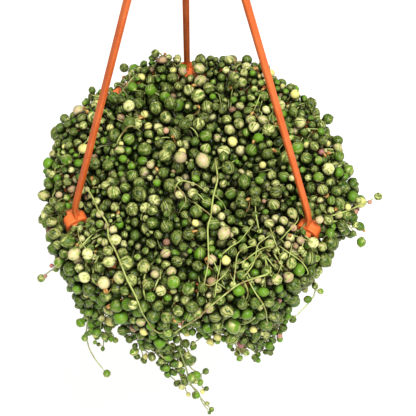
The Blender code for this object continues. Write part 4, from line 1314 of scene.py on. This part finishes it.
def pearl_skin():
    """Colours by the pearl's own measures, which its points carry: its spot on the unit ball, its
    kind, its tone, and its cover by other pearls, which darkens it as painted shade. Streaks are
    a cloudy value of the spot's bearing round the pearl's axis and a little of its place along
    it, so that they run together at both ends."""
    finish, tree, shader = new_finish("pearl_skin", 0.32)
    shader.inputs["Specular IOR Level"].default_value = 0.17
    shader.inputs["Subsurface Weight"].default_value = 0.08
    shader.inputs["Subsurface Radius"].default_value = (0.8, 1.0, 0.3)
    shader.inputs["Subsurface Scale"].default_value = 0.0010
    spot, kind, tone = (
        node(tree, "Attribute", attribute_name=name).outputs["Vector"]
        for name in ("pearl_spot", "pearl_kind", "pearl_tone")
    )
    cover = node(tree, "Attribute", attribute_name="pearl_cover").outputs["Fac"]
    seed, cream, blush = node(tree, "SeparateXYZ", {0: kind}).outputs
    fresh, gold, bud = node(tree, "SeparateXYZ", {0: tone}).outputs
    east, north, up = node(tree, "SeparateXYZ", {0: spot}).outputs

    flat, radius = level_part(tree, spot)
    shrink = maths(tree, "DIVIDE", 1.0, maths(tree, "ADD", radius, 0.28))
    bearing = node(tree, "VectorMath", {0: flat, "Scale": shrink}, operation="SCALE").outputs[0]
    along_axis = node(tree, "CombineXYZ", {2: maths(tree, "MULTIPLY", up, 0.5)}).outputs[0]
    place = vector_maths(tree, "ADD", bearing, along_axis)
    shift = node(tree, "CombineXYZ", {0: seed, 1: seed, 2: seed}).outputs[0]
    own = vector_maths(tree, "MULTIPLY_ADD", shift, SEED_SHIFT, place)
    streaks = noise(tree, own, 2.2, 3.0, 0.62)
    fine = noise(tree, own, 5.2, 4.0, 0.70)
    limit = eased(tree, cream, 0.0, 1.0, 0.68, 0.35)
    past = maths(tree, "SUBTRACT", streaks, limit)

    green = blend(tree, eased(tree, fresh, 0.0, 0.5), LEAF_DEEP, LEAF_MIDDLE)
    green = blend(tree, eased(tree, fresh, 0.5, 1.0), green, LEAF_FRESH)
    marbled = eased(tree, fine, 0.44, 0.60, 0.0, 0.85)
    marbled = maths(tree, "MULTIPLY", marbled, eased(tree, fresh, 0.3, 0.9, 1.0, 0.2))
    green = blend(tree, marbled, green, LEAF_GREY)
    colour = blend(tree, eased(tree, past, -0.16, 0.0, 0.0, 0.7), green, LEAF_GREY)
    colour = blend(tree, eased(tree, past, -0.08, 0.07, 0.0, 0.85), colour, LEAF_PALE)
    colour = blend(tree, eased(tree, past, 0.02, 0.16), colour, blend(tree, blush, CREAM, PINKISH))
    colour = blend(tree, gold, colour, GOLD)
    colour = blend(tree, bud, colour, BUD_PINK)

    off = maths(tree, "ABSOLUTE", east)
    front = eased(tree, north, 0.05, 0.30)
    front = maths(tree, "MULTIPLY", front, eased(tree, up, -0.85, -0.55))
    front = maths(tree, "MULTIPLY", front, eased(tree, seed, 0.50, 0.70, 0.08, 1.0))
    band = maths(tree, "MULTIPLY", eased(tree, off, 0.14, 0.34, 0.45, 0.0), front)
    colour = blend(tree, band, colour, LEAF_PALE)
    line = eased(tree, off, WINDOW_HALF_WIDTH * 0.6, WINDOW_HALF_WIDTH, 0.92, 0.0)
    colour = blend(tree, maths(tree, "MULTIPLY", line, front), colour, WINDOW)
    colour = blend(tree, eased(tree, up, 1.05, 1.14, 0.0, 0.8), colour, DRY_TIP)
    colour = blend(tree, eased(tree, up, -1.0, -0.88, 0.8, 0.0), colour, STEM_GREEN)
    # Painted shade: points that other pearls cover are darkened towards DEEP_SHADE.
    colour = blend(tree, eased(tree, cover, *SHADE_COVER_RANGE, 0.0, SHADE_COVER_MOST), colour, DEEP_SHADE)
    tree.links.new(colour, shader.inputs["Base Color"])
    tree.links.new(eased(tree, fine, 0.3, 0.7, 0.26, 0.42), shader.inputs["Roughness"])
    bumped(tree, shader, fine, 0.15, 0.0004)
    return finish


def stem_skin():
    """Yellow-green stems with brownish stretches and fine lines across."""
    finish, tree, shader = new_finish("stem_skin", 0.5)
    place = node(tree, "TexCoord").outputs["Object"]
    cloud = noise(tree, place, 160.0, 4.0, 0.6)
    colour = blend(tree, eased(tree, cloud, 0.48, 0.66), STEM_GREEN, STEM_BROWN)
    # Painted shade: stems deep inside the foliage are darkened towards DEEP_SHADE.
    tree.links.new(shaded(tree, colour), shader.inputs["Base Color"])
    bumped(tree, shader, noise(tree, place, 2200.0, 2.0), 0.25, 0.0002)
    return finish


leaf_finish, stem_finish = pearl_skin(), stem_skin()


# The strings' pieces: one for each bunch, of its stems as tapered tubes and its pearls. A pearl
# is a ball with a small beak, drawn out at its other end into the neck that joins it to its stem.
PEARL_SIDES = 9
PEARL_RINGS = np.radians((24.0, 55.0, 87.0, 119.0, 151.0))
BEAK = 0.15
NECK_RADIUS = 0.00040
NECK_START = 1.07
NECK_SPOTS = (-1.1, -1.3)
PEARL_SHAPE = ((0.92, 1.03), (0.92, 1.03), (0.95, 1.08))
PEARL_TILT = (18.0, 48.0)
WINDOW_SPIN = 32.0
GOLD_SHARE = 0.038
BUD_SHARE = 0.03
STEM_SIDES = 5
STEM_CREASE = 80.0
COVER_REACH = 0.0130
CREAM_FADE = (0.012, 0.02, 0.75)
PALE_SPREAD = 0.24
PALE_MOST = 0.90
BLUSH = (0.44, 0.38)
SMALL_BUD, SMALL_GOLD = 0.0027, 0.0037
YOUNG_SIZE = 0.0031
YOUNG_FRESH = 0.08
HANGING_FRESH = (0.01, 0.04, 0.20)
FRESH_DRAW = (1.0, 1.5)
GOLD_PLAY = (0.75, 1.0)
BUD_PLAY = (0.25, 0.6)


def pearl_axes(centres, anchors):
    """Each pearl's own ways: east, north and its axis. The axis leans from the neck's way towards
    a drawn way along the foliage, and north is the way out of the foliage, square to the axis."""
    count = len(centres)
    neck, out = unit(centres - anchors), outward(centres)
    flat = unit(np.cross(out, unit(rng.normal(0.0, 1.0, (count, 3)))))
    flat = unit(flat - neck * (flat * neck).sum(axis=1, keepdims=True))
    tilt = np.radians(rng.uniform(*PEARL_TILT, (count, 1)))
    axis = neck * np.cos(tilt) + flat * np.sin(tilt)
    north = unit(out - axis * (out * axis).sum(axis=1, keepdims=True))
    east = np.cross(north, axis)
    spin = np.radians(rng.normal(0.0, WINDOW_SPIN, (count, 1)))
    turned_east = east * np.cos(spin) - north * np.sin(spin)
    return turned_east, north * np.cos(spin) + east * np.sin(spin), axis


def cover_of(points, balls):
    """How far the other pearls cover each point of these balls: the sum, over the pearls within
    reach, of (size / distance)^2 times the cosine between their way and the point's own. The
    pearl skin paints shade by it."""
    normals = unit(points - balls[:, None])
    one, other = close_pairs(balls, centres, COVER_REACH)
    apart = lengths(balls[one] - centres[other]) > 1e-6
    one, other = one[apart], other[apart]
    offset = centres[other][:, None] - points[one]
    distance = lengths(offset, 1e-6)
    facing = np.clip((offset * normals[one]).sum(axis=2) / distance, 0.0, 1.0)
    cover = np.zeros(points.shape[:2])
    np.add.at(cover, one, facing * np.minimum(sizes[other][:, None] / distance, 1.0) ** 2)
    return cover


def pearls(centres, anchors, sizes, kinds, tones):
    """Closed pearls, and the measures of their points. On each, ring i at polar angle p has
    radius size sin p and lies at size cos p along the axis; the first point stands a beak beyond
    the ball, the last ring is the neck and the last point lies on the stem's middle line. All
    pearls are worked out at once."""
    count = len(centres)
    east, north, axis = pearl_axes(centres, anchors)
    angle = turn_angles(PEARL_SIDES)
    circle = np.stack((np.cos(angle), np.sin(angle)), axis=-1)
    level, up = np.sin(PEARL_RINGS)[:, None], np.cos(PEARL_RINGS)[:, None]
    local = placed(level * circle[:, 0], level * circle[:, 1], up)
    shape = placed(*(rng.uniform(low, high, count) for low, high in PEARL_SHAPE))
    ways = np.stack((east, north, axis), axis=1)
    shaped = local * (shape * sizes[:, None])[:, None, None]
    body = shaped @ ways[:, None] + centres[:, None, None]
    base = (centres - axis * sizes[:, None] * NECK_START)[:, None]
    collar = NECK_RADIUS * (circle @ ways[:, :2]) + base
    rings = np.concatenate((body, collar[:, None]), axis=1)
    beak = centres + axis * (sizes * (shape[:, 2] + BEAK))[:, None]
    points = np.concatenate((rings.reshape(count, -1, 3), beak[:, None], anchors[:, None]), axis=1)
    _, quads, triangles = closed_tube(rings[0], beak[0], anchors[0])
    step = np.arange(count)[:, None, None] * points.shape[1]
    quads, triangles = quads[:, ::-1] + step, triangles[:, ::-1] + step
    own = np.zeros((points.shape[1], 3))
    own[:local[..., 0].size] = local.reshape(-1, 3)
    own[local[..., 0].size:, 2] = [NECK_SPOTS[0]] * PEARL_SIDES + [1.0 + BEAK, NECK_SPOTS[1]]
    measures = {
        "pearl_spot": np.tile(own, (count, 1)),
        "pearl_kind": np.repeat(kinds, len(own), axis=0),
        "pearl_tone": np.repeat(tones, len(own), axis=0),
        "pearl_cover": cover_of(points, centres).reshape(-1, 1),
    }
    return (points.reshape(-1, 3), quads.reshape(-1, 4), triangles.reshape(-1, 3)), measures


def stem_rod(path, thick, thin, sides):
    """A tapered stem along a path."""
    return rod(path, np.linspace(thick, thin, len(path)), surface_ways(path)[0], sides)


def leafy_piece(name, paths, shell, measures):
    """One piece of stems and pearls. Its points carry the pearls' measures, and the faces of its
    stems, which come first, take the stem's finish."""
    shells = [stem_rod(path, STEM_RADIUS, STEM_TIP_RADIUS, STEM_SIDES) for path in paths]
    whole = joined(shells + [shell])
    made = new_piece(name, whole, leaf_finish, stem_finish, crease=STEM_CREASE)
    mesh, plain = made.data, len(whole[0]) - len(shell[0])
    for measure, values in measures.items():
        values = np.vstack((np.zeros((plain, values.shape[1])), values)).astype(np.float32)
        kind, field = ("FLOAT", "value") if values.shape[1] == 1 else ("FLOAT_VECTOR", "vector")
        mesh.attributes.new(measure, kind, "POINT").data.foreach_set(field, values.ravel())
    starts = np.empty(len(mesh.polygons), np.int32)
    mesh.polygons.foreach_get("loop_start", starts)
    corners = np.empty(len(mesh.loops), np.int32)
    mesh.loops.foreach_get("vertex_index", corners)
    mesh.polygons.foreach_set("material_index", (corners[starts] < plain).astype(np.int32))
    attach(made, "root")
    return made


def kinds_of(cream):
    """Each pearl's kind: its seed, how much of it is pale, and how pinkish its pale parts are."""
    count = len(cream)
    pale = np.clip(cream + rng.normal(0.0, PALE_SPREAD, count), 0.0, PALE_MOST)
    blush = np.clip(rng.normal(*BLUSH, count), 0.0, 1.0)
    return placed(rng.uniform(0, 1, count), pale, blush)


def tones_of(centres, sizes):
    """Each pearl's tone: how fresh its green is, more so when young and where it hangs at the
    front, whether it is golden, and whether it is a bud."""
    count = len(centres)
    hanging = np.clip((RIM_Z + HANGING_FRESH[0] - centres[:, 2]) / HANGING_FRESH[1], 0, 1)
    young = YOUNG_FRESH * (YOUNG_SIZE - sizes) / 0.001
    fresh = rng.beta(*FRESH_DRAW, count) + young + HANGING_FRESH[2] * hanging
    gold = (rng.uniform(0, 1, count) < GOLD_SHARE) & (sizes < SMALL_GOLD)
    gold = gold * rng.uniform(*GOLD_PLAY, count)
    bud = (rng.uniform(0, 1, count) < BUD_SHARE) & (sizes < SMALL_BUD)
    return placed(np.clip(fresh, 0.0, 1.0), gold, bud * rng.uniform(*BUD_PLAY, count))


for bunch in routes:
    numbers = [number for number, stem in enumerate(stems) if stem.bunch == bunch]
    mine = np.isin(owners, numbers)
    spots, size = centres[mine], sizes[mine]
    low = np.clip((RIM_Z + CREAM_FADE[0] - spots[:, 2]) / CREAM_FADE[1], 0.0, 1.0)
    cream = np.array([stems[number].cream for number in owners[mine]])
    kinds = kinds_of(cream * (1.0 - CREAM_FADE[2] * low))
    group = pearls(spots, anchors[mine], size, kinds, tones_of(spots, size))
    paths = [stems[number].path for number in numbers]
    piece = leafy_piece(bunch.replace("bunch", "pearls"), paths, *group)
    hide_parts(bunch)


# The runners and the loose strings: long stems on top of the foliage, and strings that stand or
# hang clear of it with a few small pearls and pink buds.
BUD_STRINGS = ("loose_far_left", "loose_right")
BUD_SIZE = 0.0013
SEAT_REACH = 0.010
SEAT_ROUNDS = 12
LOOSE_NECK = 0.0006
LOOSE_TURN = 2.4
LOOSE_PLAY = (0.75, 1.30)
LOOSE_BUDS = (0.5, 0.9)
LOOSE_ROOT = ((0.93, 0.93, 1.0), (0.0, 0.0, 0.004))
END_LENGTH = 0.006
END_DIP = 0.004
RUNNER_SIDES = 6
RUNNER_TAPER = 0.7

for name, stem in loose.items():
    length = path_length(stem.path)
    marks = length * np.array(LOOSE_PEARLS[name])
    spots = along(stem.path, marks)
    side, normal = surface_ways(stem.path)
    index = np.round(marks / length * (len(stem.path) - 1)).astype(int)
    turn = LOOSE_TURN * np.arange(len(marks))
    lean = side[index] * np.cos(turn)[:, None] + normal[index] * np.sin(turn)[:, None]
    lean[-1] = unit(stem.path[-1] - stem.path[-2])
    size = LOOSE_PEARL * rng.uniform(*LOOSE_PLAY, len(marks))
    tone = tones_of(spots, size)
    if name in BUD_STRINGS:
        tone[1::2, 2] = rng.uniform(*LOOSE_BUDS, len(tone[1::2]))
        size[1::2] = BUD_SIZE
    spots_out = spots + unit(lean) * (size + STEM_RADIUS + LOOSE_NECK)[:, None]
    inner = stem.path[0] * LOOSE_ROOT[0] + LOOSE_ROOT[1]
    kinds = kinds_of(np.full(len(marks), stem.cream))
    group = pearls(spots_out, spots, size, kinds, tone)
    leafy_piece(name, [np.vstack((inner, stem.path))], *group)


def seated(path, radius):
    """A path slid along the lines of sight onto the pearls that carry it: each point goes to the
    nearest pearl's surface on its line, and then up to the mean of its neighbours where that is
    nearer the camera, so that the path spans the gaps."""
    offset = centres - path[:, None]
    rise = offset @ to_camera
    room = (sizes + radius) ** 2 - (offset**2).sum(axis=2) + rise**2
    below = (room > 0.0) & (np.abs(rise) < SEAT_REACH)
    lift = np.where(below, rise + np.sqrt(np.maximum(room, 0.0)), -1.0).max(axis=1)
    found = np.nonzero(lift > -1.0)[0]
    lift = np.interp(np.arange(len(path)), found, lift[found])
    for _ in range(SEAT_ROUNDS):
        lift[1:-1] = np.maximum(lift[1:-1], (lift[:-2] + lift[2:]) / 2)
    return path + smoothed(lift, 3)[:, None] * to_camera


runner_shells = []
for path, radius in runner_paths:
    path = seated(path, radius)
    marks = np.linspace(0.0, path_length(path), len(path))
    ends = np.clip(np.minimum(marks, marks[-1] - marks) / END_LENGTH, 0.0, 1.0)
    path = path - outward(path) * (END_DIP * (1.0 - ends) ** 2)[:, None]
    runner_shells.append(stem_rod(path, radius, radius * RUNNER_TAPER, RUNNER_SIDES))
runners = new_piece("runner_stems", joined(runner_shells), stem_finish, crease=STEM_CREASE)
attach(runners, "root")


# The fine stems: thin young stems that creep over the foliage, each lying on the tops of a few
# neighbouring pearls.
FINE_COUNT = 95
TANGLES = ((185, 198), (250, 240), (275, 280), (228, 300), (160, 235))
TANGLE_RADIUS = 26.0
FINE_STEPS = 4
FINE_STEP = (0.0045, 0.0100)
FINE_RADIUS = (0.00028, 0.00044)
FINE_SPACING = 0.0011
FINE_DEPTH = (0.030, 0.035)
FINE_BULK = 0.65
FINE_LIFT = 1.02
FINE_EVEN = 0.12
FINE_BEND = 0.75
FINE_TURN = 0.5

carriers = (canopy(centres, sizes) > FINE_BULK) & (centres[:, 2] > RIM_Z - FINE_DEPTH[1])
tops = centres[carriers] + outward(centres[carriers]) * (sizes[carriers] * FINE_LIFT)[:, None]
fine_shells = []
local = (tops - np.array(view_point)) @ np.array(view_turn)
pixels = RIM_PIXEL + PHOTO_FOCUS * local[:, :2] * (1.0, -1.0) / -local[:, 2:]
crowd = np.exp(-((pixels[:, None] - TANGLES) ** 2).sum(axis=-1) / TANGLE_RADIUS**2).sum(axis=1)
crowd = (crowd + FINE_EVEN) * (tops[:, 2] > RIM_Z - FINE_DEPTH[0])
for pick in rng.choice(len(tops), FINE_COUNT, replace=False, p=crowd / crowd.sum()):
    way, chain = unit(rng.normal(0.0, 1.0, 3)), [pick]
    for _ in range(FINE_STEPS):
        step = tops - tops[chain[-1]]
        length = lengths(step)
        good = step @ way / np.maximum(length, 1e-6)
        good[(length < FINE_STEP[0]) | (length > FINE_STEP[1])] = -1.0
        if good.max() < FINE_BEND:
            break
        chain.append(good.argmax())
        way = unit(way + FINE_TURN * step[chain[-1]] / length[chain[-1]])
    if len(chain) < 3:
        continue
    route = tops[chain]
    route[0] -= outward(route[:1])[0] * END_DIP
    route[-1] -= outward(route[-1:])[0] * END_DIP
    path, _ = evened(route, FINE_SPACING)
    taper = rng.uniform(*FINE_RADIUS) * np.linspace(1.0, RUNNER_TAPER, len(path))
    fine_shells.append(rod(path, taper, surface_ways(path)[0], STEM_SIDES))
fine = new_piece("fine_stems", joined(fine_shells), stem_finish, crease=STEM_CREASE)
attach(fine, "root")


# Dry scraps: what is left of old flowers and leaves, tan and curled up, on short threads that
# come from the stems and end between the pearls on top.
SCRAP_COUNT = 85
SCRAP_TAN = (0.330, 0.140, 0.030, 1.0)
SCRAP_PALE = (0.520, 0.320, 0.090, 1.0)
SCRAP_RADIUS = (0.0007, 0.0014)
SCRAP_WIDTH = 0.00085
SCRAP_GAP = 0.0008
SCRAP_STEPS = 14
SCRAP_BULK = 0.55
SCRAP_DEPTH = 0.03
SCRAP_LEAN = 0.75
SCRAP_CURL = (200, 430)
SCRAP_TWIST = (0.4, 0.5)
SCRAP_END = 0.45
SCRAP_TAPER = (0.5, 2.8)
SCRAP_SIDES = 5
THREAD_RADIUS = 0.00022
THREAD_BOW = 0.0012
THREAD_STEP = 0.0008
THREAD_SIDES = 4


def scrap_skin():
    """Dry, papery tan."""
    finish, tree, shader = new_finish("dry_scrap", 0.85)
    cloud = noise(tree, node(tree, "TexCoord").outputs["Object"], 420.0, 3.0)
    colour = blend(tree, eased(tree, cloud, 0.42, 0.62), SCRAP_TAN, SCRAP_PALE)
    tree.links.new(colour, shader.inputs["Base Color"])
    return finish


near_top = (canopy(centres, sizes) > SCRAP_BULK) & (centres[:, 2] > RIM_Z - SCRAP_DEPTH)
scrap_shells = []
for pick in rng.choice(np.nonzero(near_top)[0], SCRAP_COUNT, replace=False):
    out = outward(centres[pick:pick + 1])[0]
    flat = unit(np.cross(out, unit(rng.normal(0.0, 1.0, 3))))
    spot = centres[pick] + unit(flat + out * SCRAP_LEAN) * (sizes[pick] + SCRAP_GAP)
    radius = rng.uniform(*SCRAP_RADIUS)
    turn = np.linspace(0.0, math.radians(rng.uniform(*SCRAP_CURL)), SCRAP_STEPS)
    one = unit(flat + rng.normal(0, SCRAP_TWIST[0], 3))
    other = unit(out + rng.normal(0, SCRAP_TWIST[1], 3))
    reach = (radius * np.linspace(1.0, SCRAP_END, SCRAP_STEPS))[:, None]
    curl = spot + reach * (np.cos(turn)[:, None] * one + np.sin(turn)[:, None] * other)
    widths = SCRAP_WIDTH * np.sin(np.linspace(*SCRAP_TAPER, SCRAP_STEPS))
    scrap_shells.append(rod(curl, widths, np.cross(one, other), SCRAP_SIDES))
    middle = 0.5 * (anchors[pick] + curl[0]) + flat * THREAD_BOW
    thread, _ = evened(np.array([anchors[pick], middle, curl[0]]), THREAD_STEP, 2)
    side = unit(np.cross(thread[-1] - thread[0], out))
    scrap_shells.append(rod(thread, THREAD_RADIUS, side, THREAD_SIDES))
scraps = new_piece("dry_scraps", joined(scrap_shells), scrap_skin(), crease=STEM_CREASE)
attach(scraps, "root")


# The studio: a plain pale floor well below the pot, a soft light overhead to the right and pale
# light from all round.
FLOOR_DROP = 0.55
FLOOR_SIDE = 6.0
FLOOR_WHITE = (0.94, 0.93, 0.93, 1.0)
SKY_COLOUR = (1.0, 0.985, 0.72, 1.0)
SKY_STRENGTH = 0.16
LIGHT_PLACE = (0.50, -1.40, 3.30)
LIGHT_SIDE = 2.20
LIGHT_WATTS = 308.0

floor_z = cad_box[0].z - FLOOR_DROP
floor_mesh = bpy.data.meshes.new("studio_floor")
half = FLOOR_SIDE / 2
floor_corners = [(x * half, y * half, floor_z) for x, y in ((-1, -1), (1, -1), (1, 1), (-1, 1))]
floor_mesh.from_pydata(floor_corners, [], [(0, 1, 2, 3)])
floor_finish, _, floor_shader = new_finish("studio_floor", 0.8)
floor_shader.inputs["Base Color"].default_value = FLOOR_WHITE
floor_mesh.materials.append(floor_finish)
floor = bpy.data.objects.new("studio_floor", floor_mesh)
bpy.context.scene.collection.objects.link(floor)

world = bpy.data.worlds.new("studio")
bpy.context.scene.world = world
world.use_nodes = True
world.node_tree.nodes["Background"].inputs[0].default_value = SKY_COLOUR
world.node_tree.nodes["Background"].inputs[1].default_value = SKY_STRENGTH

lamp = bpy.data.lights.new("key_light", "AREA")
lamp.shape = "SQUARE"
lamp.size = LIGHT_SIDE
lamp.energy = LIGHT_WATTS
key_light = bpy.data.objects.new("key_light", lamp)
key_light.location = LIGHT_PLACE
key_light.rotation_euler = (rim_middle - Vector(LIGHT_PLACE)).to_track_quat("-Z", "Y").to_euler()
bpy.context.scene.collection.objects.link(key_light)
bpy.context.scene.view_settings.view_transform = "Standard"
